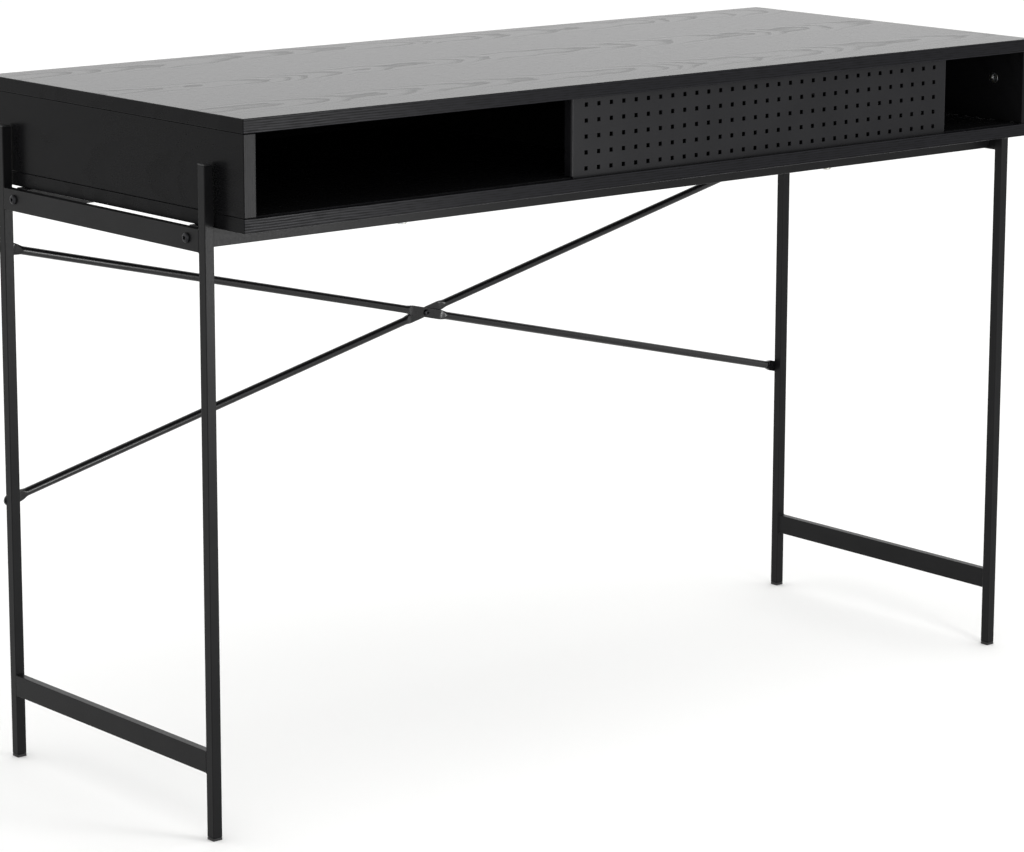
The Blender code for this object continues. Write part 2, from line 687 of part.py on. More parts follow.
def half_brace(plane_y, end_z):
    """Sections from the rounded tip behind the left leg to the brace's middle."""
    back = Vector((0, 1, 0))
    bolt = Vector((-LEG_X, 0, end_z))
    middle = Vector((0, 0, BRACE_MIDDLE))
    length = (middle - bolt).length
    run = (middle - bolt) / length
    across = Vector((-run.z, 0, run.x))
    tip = -(LEG / 2 + TAB_END) / run.x
    flat_end = (LEG / 2 + TAB_FLAT) / run.x
    # the flatter the rods cross, the further along them the flats lap over each other
    lap = WAIST_WIDTH / 2 * run.x / abs(run.z)
    half_wide, half_thin, roundness = flattened(1, TAB_WIDTH)
    turns = [math.radians(angle) for angle in (20, 45, 70, 90)]
    rings = []
    for turn in turns:
        at = tip + TAB_WIDTH / 2 * (math.cos(turns[0]) - math.cos(turn))
        rings.append(section(
            bolt + run * at + back * TAB_Y, across, -back, half_wide * math.sin(turn), half_thin, roundness,
        ))
    shares = [0, 0.25, 0.5, 0.75, 1]
    for share in shares:
        # the rod steps into its own plane as it turns round
        y = TAB_Y + (plane_y - TAB_Y) * share * share * (3 - 2 * share)
        at = bolt + run * (flat_end + SWELL * share) + back * y
        rings.append(section(at, across, -back, *flattened(1 - share, TAB_WIDTH)))
    for share in shares:
        reach = lap * (WAIST_SHARE + WAIST_SWELL_SHARE * (1 - share))
        at = bolt + run * (length - reach) + back * plane_y
        rings.append(section(at, across, -back, *flattened(share, WAIST_WIDTH)))
    rings.append(section(middle + back * plane_y, across, -back, *flattened(1, WAIST_WIDTH)))
    return rings


def loft(name, rings, material):
    """A closed body through rings of equally many points."""
    bm = bmesh.new()
    verts = [[bm.verts.new(point) for point in ring] for ring in rings]
    for here, there in zip(verts, verts[1:]):
        for a in range(ROD_SIDES):
            b = (a + 1) % ROD_SIDES
            bm.faces.new((here[a], here[b], there[b], there[a]))
    bm.faces.new(list(reversed(verts[0])))
    bm.faces.new(verts[-1])
    bmesh.ops.recalc_face_normals(bm, faces=bm.faces)
    mesh = mesh_from(name, bm)
    mesh.shade_smooth()
    mesh.set_sharp_from_angle(angle=math.radians(35))
    return add_object(name, mesh, material)


def threaded_insert(name, seat, axis):
    """A flush insert in a leg's wall, with a collar that grips the wall from inside."""
    collar = INSERT_RADIUS + (LEG / 2 - LEG_WALL - INSERT_RADIUS) * 0.6
    grip = LEG_WALL + TOUCH
    insert = turned(
        name,
        [
            (0, 0), (INSERT_RADIUS, 0), (INSERT_RADIUS, grip), (collar, grip),
            (collar, grip + INSERT_COLLAR), (INSERT_RADIUS, grip + INSERT_COLLAR),
            (INSERT_RADIUS, INSERT_LENGTH), (0, INSERT_LENGTH),
        ],
        ZINC, seat, axis,
    )
    start = Vector(seat) - INSERT_LENGTH * Vector(axis)
    cut_hole(insert, start, axis, BRACE_BOLT_RADIUS + BOLT_SLACK, 3 * INSERT_LENGTH)


def build_brace():
    """Two rods bolted to the back legs' back faces and to each other where they cross."""
    half = (STRAP + TOUCH) / 2
    planes = {
        "front": (TAB_Y - half, BRACE_TOP, BRACE_FLOOR),
        "back": (TAB_Y + half, BRACE_FLOOR, BRACE_TOP),
    }
    hole = BRACE_BOLT_RADIUS + BOLT_SLACK
    for name, (plane_y, left_z, right_z) in planes.items():
        left = half_brace(plane_y, left_z)
        right = half_brace(plane_y, right_z)
        mirrored = [[Vector((-p.x, p.y, p.z)) for p in ring] for ring in right[:-1]]
        rod = loft("brace_rod_" + name, left + mirrored[::-1], POWDER_COAT)
        for side, z in ((-1, left_z), (1, right_z)):
            cut_hole(rod, (side * LEG_X, TAB_Y - 2 * STRAP, z), (0, 1, 0), hole, 4 * STRAP)
        cut_hole(rod, (0, plane_y - 2 * STRAP, BRACE_MIDDLE), (0, 1, 0), hole, 4 * STRAP)
    stack = 2 * STRAP + TOUCH
    front = TAB_Y - stack / 2
    headed_bolt(
        "brace_centre_bolt", BRACE_BOLT_RADIUS, BRACE_BOLT_HEAD, BRACE_BOLT_DOME,
        stack + TOUCH + NUT_HEIGHT + THREAD_END, BLACK_STEEL, (0, front, BRACE_MIDDLE), (0, 1, 0),
    )
    hex_nut("brace_centre_nut", (0, front + stack + TOUCH, BRACE_MIDDLE), (0, 1, 0))
    for name, side in SIDES.items():
        for level, z in (("upper", BRACE_TOP), ("lower", BRACE_FLOOR)):
            headed_bolt(
                f"brace_bolt_{level}_{name}", BRACE_BOLT_RADIUS, BRACE_BOLT_HEAD, BRACE_BOLT_DOME,
                STRAP + TOUCH + INSERT_LENGTH + THREAD_END, BLACK_STEEL,
                (side * LEG_X, TAB_Y + STRAP / 2, z), (0, -1, 0),
            )
            threaded_insert(f"brace_insert_{level}_{name}", (side * LEG_X, LEG_BACK, z), (0, -1, 0))


build_boards()
build_panels()
build_inner_boards()
build_case_fasteners()
build_door()
build_legs()
build_side_rails()
build_cross_rails()
build_frame_fasteners()
build_brace()
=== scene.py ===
"""Looks of a writing desk: a black ash case with a perforated sliding door, on a steel frame.

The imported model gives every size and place. The boards, the door, the legs and the rails keep
their shapes and get their finishes here. Bolts, screws, nuts, cam locks, plastic plugs, weld
seams and the crossed brace are modelled in full detail. Metres, +Z up, front towards -Y.
"""

import logging
import math
from collections.abc import Callable, Iterator, Sequence
from contextlib import contextmanager
from dataclasses import dataclass, replace
from enum import Enum
from functools import cached_property, partial

import bmesh
import bpy
from mathutils import Matrix, Quaternion, Vector


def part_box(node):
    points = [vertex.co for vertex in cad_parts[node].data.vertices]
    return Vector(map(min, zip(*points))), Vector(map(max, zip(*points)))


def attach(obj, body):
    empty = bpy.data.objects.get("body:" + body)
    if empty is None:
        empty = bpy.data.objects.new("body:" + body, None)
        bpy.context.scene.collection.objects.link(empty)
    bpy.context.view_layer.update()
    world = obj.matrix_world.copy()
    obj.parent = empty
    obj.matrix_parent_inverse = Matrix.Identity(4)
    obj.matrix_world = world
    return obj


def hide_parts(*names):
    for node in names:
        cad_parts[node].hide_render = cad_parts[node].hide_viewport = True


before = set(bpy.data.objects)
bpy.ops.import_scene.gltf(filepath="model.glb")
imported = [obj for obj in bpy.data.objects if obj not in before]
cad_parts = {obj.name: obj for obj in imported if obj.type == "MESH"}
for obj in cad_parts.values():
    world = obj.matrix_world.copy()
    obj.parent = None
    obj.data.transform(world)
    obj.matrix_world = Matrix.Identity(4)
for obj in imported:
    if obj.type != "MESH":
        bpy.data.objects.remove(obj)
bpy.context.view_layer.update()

LOG = logging.getLogger("writing_desk")
MM = 0.001
DESK = "desk"
UP = Vector((0, 0, 1))
BACKWARDS = Vector((0, 1, 0))
MIRROR = Matrix.Diagonal((-1, 1, 1))
LEVELS = ("upper", "lower")

AddNode = Callable[..., bpy.types.Node]


class Side(Enum):
    """Left and right of the desk, as seen from the front."""

    LEFT = -1
    RIGHT = 1

    @property
    def word(self) -> str:
        """Name of the side, as the nodes spell it."""
        return self.name.lower()


class End(Enum):
    """Front and back of the desk."""

    FRONT = "front"
    BACK = "back"


def corners() -> Iterator[tuple[int, Side, End, str]]:
    """Goes round the desk's corners.

    Yields:
        The corner's number, side and end, and the words that its nodes' names end with.
    """
    for number, (side, end) in enumerate((side, end) for side in Side for end in End):
        yield number, side, end, f"{end.value}_{side.word}"


class Facing(Enum):
    """Axis that a board's broad faces look along, as its place in a vector."""

    X = 0
    Y = 1
    Z = 2


class Drive(Enum):
    """Recess that takes the key or the screwdriver."""

    HEXAGON = "hexagon socket"
    CROSS = "cross recess"


class Slot(Enum):
    """Material slots of the record."""

    VENEER = "black_ash_veneer"
    FRAME = "black_powder_coat"
    DOOR = "door_powder_coat"
    OXIDE = "black_oxide_steel"
    ZINC = "zinc_plated_steel"
    PLASTIC = "black_plastic"


# ------------------------------------------------------------------ finishes


def linear(colour: str) -> tuple[float, float, float, float]:
    """Turns an sRGB hex colour into linear light.

    Args:
        colour: six hex digits after a #.

    Returns:
        Red, green, blue and an alpha of 1.
    """
    values = [int(colour[i : i + 2], 16) / 255 for i in (1, 3, 5)]
    red, green, blue = (
        v / 12.92 if v <= 0.04045 else ((v + 0.055) / 1.055) ** 2.4 for v in values
    )
    return (red, green, blue, 1.0)


def add_node(
    tree: bpy.types.NodeTree, kind: str, inputs: dict[int | str, object], **settings: object
) -> bpy.types.Node:
    """Adds one node with its settings, values and links.

    Args:
        tree: the node tree that gets the node.
        kind: the node's type.
        inputs: for each input, a value, a socket, or a node whose first output is taken.
        **settings: the node's own properties.

    Returns:
        The new node.
    """
    node = tree.nodes.new(kind)
    for name, value in settings.items():
        setattr(node, name, value)
    for socket, value in inputs.items():
        if isinstance(value, bpy.types.Node):
            value = value.outputs[0]
        if isinstance(value, bpy.types.NodeSocket):
            tree.links.new(value, node.inputs[socket])
        else:
            node.inputs[socket].default_value = value
    return node


@dataclass(frozen=True)
class Finish:
    """What every finish has: a name, a colour and a gloss."""

    name: str
    slot: Slot
    colour: str
    roughness: float
    metallic: float = 0.0
    specular: float = 0.5

    def started(self) -> tuple[bpy.types.Material, AddNode]:
        """Starts the material.

        Returns:
            The material, and what adds a node to it.
        """
        material = bpy.data.materials.new(self.name)
        material.use_nodes = True
        shader = material.node_tree.nodes["Principled BSDF"]
        shader.inputs["Base Color"].default_value = linear(self.colour)
        shader.inputs["Roughness"].default_value = self.roughness
        shader.inputs["Metallic"].default_value = self.metallic
        shader.inputs["Specular IOR Level"].default_value = self.specular
        return material, partial(add_node, material.node_tree)


def connect(
    material: bpy.types.Material, colour: bpy.types.NodeSocket, gloss: bpy.types.Node,
    height: bpy.types.NodeSocket, depth: float,
) -> None:
    """Joins a finish's colour, gloss and relief to its shader.

    Args:
        material: the finish's material.
        colour: where its colour comes from.
        gloss: where its roughness comes from.
        height: where its relief comes from, from 0 to 1.
        depth: how deep the relief is.
    """
    tree = material.node_tree
    shader = tree.nodes["Principled BSDF"]
    bump = add_node(tree, "ShaderNodeBump", {"Height": height, "Distance": depth, "Strength": 1.0})
    tree.links.new(colour, shader.inputs["Base Color"])
    tree.links.new(gloss.outputs[0], shader.inputs["Roughness"])
    tree.links.new(bump.outputs[0], shader.inputs["Normal"])


@dataclass(frozen=True)
class AshVeneer(Finish):
    """Flat-cut ash veneer, stained black under a satin lacquer.

    Its arched growth rings and open pores show as duller, darker lines, most of all where the
    board is seen at a low angle. The banding on a board's front edge has straight grain along it.
    """

    pore_colour: str = "#0b0b0c"
    band_colour: str = "#1c1c1f"
    band_pore_colour: str = "#0a0a0b"
    broad: Facing = Facing.Z
    upright: bool = False
    # where along the flitch the board was cut, and the share of it that the cut drifts across
    start: float = 0.0
    slant: float = 0.13
    # width of a leaf, and how far each is slid along against the one beside it, in metres
    leaf: float = 190 * MM
    leaf_slide: float = 0.41
    # width of a growth ring, and its pale share before the late wood
    ring: float = 4.2 * MM
    pale: float = 0.42
    # depth of the log's heart under the leaf, how fast it sinks, and how far it wanders
    heart: float = 85 * MM
    taper: float = 0.055
    wander: float = 60 * MM
    wander_scale: tuple[float, float] = (2.2, 3.0)
    swell: float = 22 * MM
    swell_scale: float = 5.0
    # half width of the arches, the inner share of it where they are full, and what is left outside
    heart_half: float = 36 * MM
    full: float = 0.4
    plain: float = 0.30
    # small waves of the grain, in rings of the leaf and of the banding
    ripple_scale: tuple[float, float] = (14, 60)
    ripple: float = 0.8
    band_ripple: float = 1.6
    band_ring: float = 1.4 * MM
    band_streak: tuple[float, float] = (0.1, 0.7)
    # open pores: dashes about 20 mm long and 1.5 mm wide, twice as coarse as real ones so that
    # they show, crowded where the figure is dark
    pore_scale: tuple[float, float] = (50, 650)
    pore_edge: tuple[float, float] = (0.46, 0.68)
    pores_in_figure: float = 0.45
    pores_beside: float = 0.18
    pore_depth: float = 0.010 * MM
    figure_strength: float = 0.72
    dulling: float = 0.065
    band_dulling: float = 0.20

    @cached_property
    def material(self) -> bpy.types.Material:
        """Makes the veneer's material.

        Returns:
            A material whose grain follows the board's length on every face.
        """
        material, add = self.started()
        faces, run = self.grain_run(add)
        ripple = self.stretched(add, run, self.ripple_scale, 3.0)
        banded = faces[2 if self.broad is Facing.Y else 1].outputs[0]
        arches, streaks = self.arches(add, run, ripple), self.streaks(add, run, ripple)
        figure = add("ShaderNodeMix", {0: banded, 2: arches, 3: streaks}, data_type="FLOAT")
        dark = self.darkness(add, run, figure)
        light = add(
            "ShaderNodeMix", {0: banded, 6: linear(self.colour), 7: linear(self.band_colour)},
            data_type="RGBA",
        )
        deep = add(
            "ShaderNodeMix", {0: banded, 6: linear(self.pore_colour), 7: linear(self.band_pore_colour)},
            data_type="RGBA",
        )
        colour = add(
            "ShaderNodeMix", {0: dark, 6: light.outputs[2], 7: deep.outputs[2]}, data_type="RGBA",
        )
        duller = add(
            "ShaderNodeMix", {0: banded, 2: self.dulling, 3: self.band_dulling}, data_type="FLOAT",
        )
        gloss = add("ShaderNodeMath", {0: dark, 1: duller, 2: self.roughness}, operation="MULTIPLY_ADD")
        height = add("ShaderNodeMath", {0: 1.0, 1: dark}, operation="SUBTRACT")
        connect(material, colour.outputs[2], gloss, height.outputs[0], self.pore_depth)
        return material

    def grain_run(self, add: AddNode) -> tuple[list[bpy.types.Node], bpy.types.Node]:
        """Measures along and across the grain, on faces that look up, forwards and sideways.

        Args:
            add: adds a node to the veneer.

        Returns:
            Whether a face looks along each axis, and the place along and across the grain.
        """
        place = add("ShaderNodeTexCoord", {})
        x, y, z = add("ShaderNodeSeparateXYZ", {0: place.outputs["Object"]}).outputs
        normal = place.outputs["Normal"]
        squared = add("ShaderNodeVectorMath", {0: normal, 1: normal}, operation="MULTIPLY")
        faces = [
            add("ShaderNodeMath", {0: share, 1: 0.5}, operation="GREATER_THAN")
            for share in add("ShaderNodeSeparateXYZ", {0: squared}).outputs
        ]
        flat = add("ShaderNodeCombineXYZ", {0: x, 1: y})
        ahead = add("ShaderNodeCombineXYZ", {0: z, 1: x} if self.upright else {0: x, 1: z})
        aside = add("ShaderNodeCombineXYZ", {0: y, 1: z})
        level = add("ShaderNodeMix", {0: faces[0], 4: ahead, 5: aside}, data_type="VECTOR")
        chosen = add("ShaderNodeMix", {0: faces[2], 4: level.outputs[1], 5: flat}, data_type="VECTOR")
        cut = (self.start, self.start * self.slant, 0)
        return faces, add("ShaderNodeVectorMath", {0: chosen.outputs[1], 1: cut}, operation="ADD")

    def stretched(
        self, add: AddNode, run: bpy.types.Node, scale: tuple[float, float], detail: float
    ) -> bpy.types.Node:
        """Makes noise that is drawn out along the grain.

        Args:
            add: adds a node to the veneer.
            run: the place along and across the grain.
            scale: how many patches a metre has, along and across.
            detail: how fine the noise goes.

        Returns:
            The noise.
        """
        at = add("ShaderNodeVectorMath", {0: run, 1: (*scale, 1)}, operation="MULTIPLY")
        return add(
            "ShaderNodeTexNoise", {"Vector": at, "Scale": 1.0, "Detail": detail}, noise_dimensions="2D",
        )

    def arches(self, add: AddNode, run: bpy.types.Node, ripple: bpy.types.Node) -> bpy.types.Node:
        """Draws the arched growth rings of each leaf.

        Args:
            add: adds a node to the veneer.
            run: the place along and across the grain.
            ripple: small waves of the grain.

        Returns:
            How dark the figure is.
        """
        along, across, _ = add("ShaderNodeSeparateXYZ", {0: run}).outputs
        # the log's heart wanders a few centimetres under each leaf
        wander = self.stretched(add, run, self.wander_scale, 2.0)
        bent = add("ShaderNodeMath", {0: wander, 1: self.wander, 2: across}, operation="MULTIPLY_ADD")
        leaves = add("ShaderNodeMath", {0: bent, 1: self.leaf}, operation="DIVIDE")
        index = add("ShaderNodeMath", {0: leaves}, operation="FLOOR")
        share = add("ShaderNodeMath", {0: leaves}, operation="FRACT")
        offset = add(
            "ShaderNodeMath", {0: share, 1: self.leaf, 2: -self.leaf / 2}, operation="MULTIPLY_ADD",
        )
        # distance from the heart, which sinks along the board
        slid = add("ShaderNodeMath", {0: index, 1: self.leaf_slide, 2: along}, operation="MULTIPLY_ADD")
        swell = add(
            "ShaderNodeTexNoise", {"W": slid, "Scale": self.swell_scale, "Detail": 2.0},
            noise_dimensions="1D",
        )
        sloped = add("ShaderNodeMath", {0: along, 1: self.taper, 2: self.heart}, operation="MULTIPLY_ADD")
        depth = add("ShaderNodeMath", {0: swell, 1: self.swell, 2: sloped}, operation="MULTIPLY_ADD")
        offset_square = add("ShaderNodeMath", {0: offset, 1: offset}, operation="MULTIPLY")
        square = add("ShaderNodeMath", {0: depth, 1: depth, 2: offset_square}, operation="MULTIPLY_ADD")
        radius = add("ShaderNodeMath", {0: square}, operation="SQRT")
        rings = add("ShaderNodeMath", {0: radius, 1: self.ring}, operation="DIVIDE")
        waved = add("ShaderNodeMath", {0: ripple, 1: self.ripple, 2: rings}, operation="MULTIPLY_ADD")
        step = add("ShaderNodeMath", {0: waved}, operation="FRACT")
        lines = add(
            "ShaderNodeMapRange", {0: step, 1: self.pale, 2: 1.0}, interpolation_type="SMOOTHSTEP",
        )
        # the arches stand out over the heart and fade into plain grain beside it
        beside = add("ShaderNodeMath", {0: offset}, operation="ABSOLUTE")
        figured = add(
            "ShaderNodeMapRange",
            {0: beside, 1: self.full * self.heart_half, 2: self.heart_half, 3: 1.0, 4: self.plain},
            interpolation_type="SMOOTHSTEP",
        )
        return add("ShaderNodeMath", {0: lines, 1: figured}, operation="MULTIPLY")

    def streaks(self, add: AddNode, run: bpy.types.Node, ripple: bpy.types.Node) -> bpy.types.Node:
        """Draws the banding's straight rings, which run along the edge with a slow wave.

        Args:
            add: adds a node to the veneer.
            run: the place along and across the grain.
            ripple: small waves of the grain.

        Returns:
            How dark the streaks are.
        """
        across = add("ShaderNodeSeparateXYZ", {0: run}).outputs[1]
        rings = add("ShaderNodeMath", {0: across, 1: self.band_ring}, operation="DIVIDE")
        waved = add(
            "ShaderNodeMath", {0: ripple, 1: self.band_ripple, 2: rings}, operation="MULTIPLY_ADD",
        )
        step = add("ShaderNodeMath", {0: waved, 1: 1.0}, operation="PINGPONG")
        near, far = self.band_streak
        return add("ShaderNodeMapRange", {0: step, 1: near, 2: far}, interpolation_type="SMOOTHSTEP")

    def darkness(self, add: AddNode, run: bpy.types.Node, figure: bpy.types.Node) -> bpy.types.Node:
        """Adds the open pores to the figure.

        Args:
            add: adds a node to the veneer.
            run: the place along and across the grain.
            figure: how dark the figure is.

        Returns:
            How dark and deep the surface is, from 0 to 1.
        """
        pores = self.stretched(add, run, self.pore_scale, 2.0)
        near, far = self.pore_edge
        dashes = add("ShaderNodeMapRange", {0: pores, 1: near, 2: far}, interpolation_type="SMOOTHSTEP")
        crowded = add(
            "ShaderNodeMath", {0: figure, 1: self.pores_in_figure, 2: self.pores_beside},
            operation="MULTIPLY_ADD",
        )
        open_pores = add("ShaderNodeMath", {0: dashes, 1: crowded}, operation="MULTIPLY")
        return add(
            "ShaderNodeMath", {0: figure, 1: self.figure_strength, 2: open_pores},
            operation="MULTIPLY_ADD", use_clamp=True,
        )


@dataclass(frozen=True)
class MottledFinish(Finish):
    """A skin whose tone drifts from patch to patch, over a finer grain of gloss and relief."""

    drift: str = "#161617"
    patch: float = 45 * MM
    patch_detail: float = 3.0
    patch_edge: tuple[float, float] = (0.3, 0.7)
    grain: float = 2.2 * MM
    grain_detail: float = 2.0
    grain_edge: tuple[float, float] = (0.25, 0.75)
    grain_depth: float = 0.018 * MM
    smoother: float = 0.05
    duller: float = 0.06

    @cached_property
    def material(self) -> bpy.types.Material:
        """Makes the finish's material.

        Returns:
            A material with patches of tone over a grain of gloss and relief.
        """
        material, add = self.started()
        place = add("ShaderNodeTexCoord", {}).outputs["Object"]
        patches = add(
            "ShaderNodeTexNoise",
            {"Vector": place, "Scale": 1 / self.patch, "Detail": self.patch_detail},
        )
        grain = add(
            "ShaderNodeTexNoise",
            {"Vector": place, "Scale": 1 / self.grain, "Detail": self.grain_detail},
        )
        near, far = self.patch_edge
        tone = add("ShaderNodeMapRange", {0: patches, 1: near, 2: far}, interpolation_type="SMOOTHSTEP")
        colour = add(
            "ShaderNodeMix", {0: tone, 6: linear(self.drift), 7: linear(self.colour)}, data_type="RGBA",
        )
        near, far = self.grain_edge
        low, high = self.roughness - self.smoother, self.roughness + self.duller
        gloss = add("ShaderNodeMapRange", {0: grain, 1: near, 2: far, 3: low, 4: high})
        connect(material, colour.outputs[2], gloss, grain.outputs[0], self.grain_depth)
        return material


@dataclass(frozen=True)
class PowderCoat(MottledFinish):
    """Polyester powder coat baked on steel: an even satin skin with a faint orange peel.

    The peel is drawn about twice as coarse as it is, so that it shows.
    """


@dataclass(frozen=True)
class PlatedSteel(MottledFinish):
    """Steel fasteners, zinc plated in a barrel or blackened in a hot bath: small even mottling."""

    drift: str = "#cfd2d6"
    patch: float = 5.5 * MM
    patch_detail: float = 1.0
    patch_edge: tuple[float, float] = (0.35, 0.65)
    grain: float = 1.1 * MM
    grain_detail: float = 3.0
    grain_edge: tuple[float, float] = (0.3, 0.7)
    grain_depth: float = 0.012 * MM
    smoother: float = 0.06
    duller: float = 0.08


@dataclass(frozen=True)
class MouldedPlastic(Finish):
    """Polyethylene moulded in a spark-eroded tool: matt, with a fine pebbled skin whose hollows get a
    painted shade.
    """

    # painted shade: the darker colour that the pebbles' hollows take
    shade: str = "#0f0f10"
    pebble: float = 0.9 * MM
    pebble_depth: float = 0.02 * MM
    smoother: float = 0.06
    duller: float = 0.08

    @cached_property
    def material(self) -> bpy.types.Material:
        """Makes the plastic's material.

        Returns:
            A matt material with a pebbled relief, its hollows darkened by painted shade.
        """
        material, add = self.started()
        place = add("ShaderNodeTexCoord", {}).outputs["Object"]
        pebbles = add("ShaderNodeTexVoronoi", {"Vector": place, "Scale": 1 / self.pebble})
        spread = pebbles.outputs["Distance"]
        # painted shade: where the relief dips, in the middle of each pebble, the colour goes towards the
        # darker shade
        colour = add(
            "ShaderNodeMix", {0: spread, 6: linear(self.shade), 7: linear(self.colour)}, data_type="RGBA",
        )
        low, high = self.roughness - self.smoother, self.roughness + self.duller
        gloss = add("ShaderNodeMapRange", {0: spread, 3: low, 4: high})
        connect(material, colour.outputs[2], gloss, spread, self.pebble_depth)
        return material


# ------------------------------------------------------------------ modelling


def deselect() -> None:
    """Leaves nothing selected."""
    bpy.ops.object.select_all(action="DESELECT")


def activate(piece: bpy.types.Object) -> None:
    """Selects one piece, and nothing else.

    Args:
        piece: the piece that the next operator acts on.
    """
    deselect()
    piece.select_set(True)
    bpy.context.view_layer.objects.active = piece


def added(name: str) -> bpy.types.Object:
    """Names the primitive that was just added and puts its place in its mesh.

    Args:
        name: the piece's name.

    Returns:
        The piece, its origin at the world's.
    """
    piece = bpy.context.object
    piece.name = piece.data.name = name
    bpy.ops.object.transform_apply(location=True, rotation=True, scale=True)
    return piece


@contextmanager
def editing(piece: bpy.types.Object) -> Iterator[None]:
    """Keeps one piece in edit mode while its block runs.

    Args:
        piece: the piece to edit.

    Yields:
        Nothing.
    """
    activate(piece)
    bpy.ops.object.mode_set(mode="EDIT")
    bpy.ops.mesh.select_mode(type="FACE")
    yield
    bpy.ops.object.mode_set(mode="OBJECT")


def pick(piece: bpy.types.Object, kind: str, test: Callable[..., bool]) -> None:
    """Selects the faces or the edges that pass a test, and no others.

    Args:
        piece: a piece in edit mode.
        kind: FACE or EDGE.
        test: says whether a face or an edge is wanted.
    """
    bpy.ops.mesh.select_all(action="DESELECT")
    bpy.ops.mesh.select_mode(type=kind)
    mesh = bmesh.from_edit_mesh(piece.data)
    for part in mesh.faces if kind == "FACE" else mesh.edges:
        if test(part):
            part.select_set(True)
    bmesh.update_edit_mesh(piece.data)


def apply_modifier(piece: bpy.types.Object, kind: str, **settings: object) -> None:
    """Gives a piece a modifier and applies it.

    Args:
        piece: the piece to change.
        kind: the modifier's type.
        **settings: the modifier's properties.
    """
    modifier = piece.modifiers.new(kind.lower(), kind)
    for name, value in settings.items():
        setattr(modifier, name, value)
    activate(piece)
    bpy.ops.object.modifier_apply(modifier=modifier.name)


def discard(piece: bpy.types.Object) -> None:
    """Removes a master or a tool that has served."""
    bpy.data.meshes.remove(piece.data, do_unlink=True)


def combine(piece: bpy.types.Object, tool: bpy.types.Object, operation: str) -> None:
    """Cuts or intersects a piece with a tool, and removes the tool.

    Args:
        piece: the piece to change.
        tool: the shape to use on it.
        operation: the boolean's operation.
    """
    apply_modifier(piece, "BOOLEAN", object=tool, operation=operation, solver="EXACT")
    discard(tool)


def block(name: str, low: Sequence[float], high: Sequence[float]) -> bpy.types.Object:
    """Adds a block between two corners, to be shaped further.

    Args:
        name: the piece's name.
        low: its lowest corner.
        high: its highest corner.

    Returns:
        The block.
    """
    low, high = Vector(low), Vector(high)
    deselect()
    bpy.ops.mesh.primitive_cube_add(size=1, location=(low + high) / 2, scale=high - low)
    return added(name)


def cylinder(
    name: str, sides: int, radius: float, depth: float,
    middle: Sequence[float] = (0, 0, 0), tilt: float = 0.0,
) -> bpy.types.Object:
    """Adds a cylinder, to be shaped further or used as a tool.

    Args:
        name: the piece's name.
        sides: how many sides it has.
        radius: its radius.
        depth: its length along +Z, before it is tilted.
        middle: its middle.
        tilt: its turn about the X axis, in degrees.

    Returns:
        The cylinder.
    """
    deselect()
    bpy.ops.mesh.primitive_cylinder_add(
        vertices=sides, radius=radius, depth=depth, location=middle,
        rotation=(math.radians(tilt), 0, 0),
    )
    return added(name)


def smooth(piece: bpy.types.Object, angle: float = 35.0) -> None:
    """Turns a piece's faces outwards and shades it smooth, but for its sharp edges.

    Args:
        piece: the piece to shade.
        angle: the angle past which an edge stays sharp, in degrees.
    """
    with editing(piece):
        bpy.ops.mesh.select_all(action="SELECT")
        bpy.ops.mesh.normals_make_consistent(inside=False)
    bpy.ops.object.shade_smooth_by_angle(angle=math.radians(angle))


def copy_to(
    master: bpy.types.Object, name: str, seat: Vector, axis: Vector, turn: float = 0.0
) -> bpy.types.Object:
    """Copies a piece, with its own mesh, to a seat.

    Args:
        master: the piece to copy, standing on the origin along +Z.
        name: the copy's name.
        seat: where the copy stands.
        axis: the direction it stands along.
        turn: its turn about that axis, in degrees.

    Returns:
        The copy, its place in its mesh.
    """
    activate(master)
    bpy.ops.object.duplicate(linked=False)
    piece = bpy.context.object
    piece.matrix_world = Matrix.LocRotScale(
        seat, UP.rotation_difference(axis) @ Quaternion(UP, math.radians(turn)), None,
    )
    bpy.context.view_layer.update()
    return added(name)


def fit(piece: bpy.types.Object, finish: Finish, node: str | None = None) -> None:
    """Gives a piece its finish and body, and says so.

    Args:
        piece: a finished piece of the desk.
        finish: its finish.
        node: the node that it stands for, if any.
    """
    piece.data.materials.clear()
    piece.data.materials.append(finish.material)
    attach(piece, DESK)
    if node:
        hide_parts(node)
    LOG.info("%s: %d faces, %s", piece.name, len(piece.data.polygons), finish.name)


def dress(node: str, finish: Finish) -> None:
    """Gives a node that keeps its shape its finish.

    Args:
        node: the node's name.
        finish: its finish.
    """
    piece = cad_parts[node]
    for slot in piece.material_slots:
        slot.material = finish.material
    LOG.info("%s: %s", node, finish.name)


# ------------------------------------------------------------------ case and door


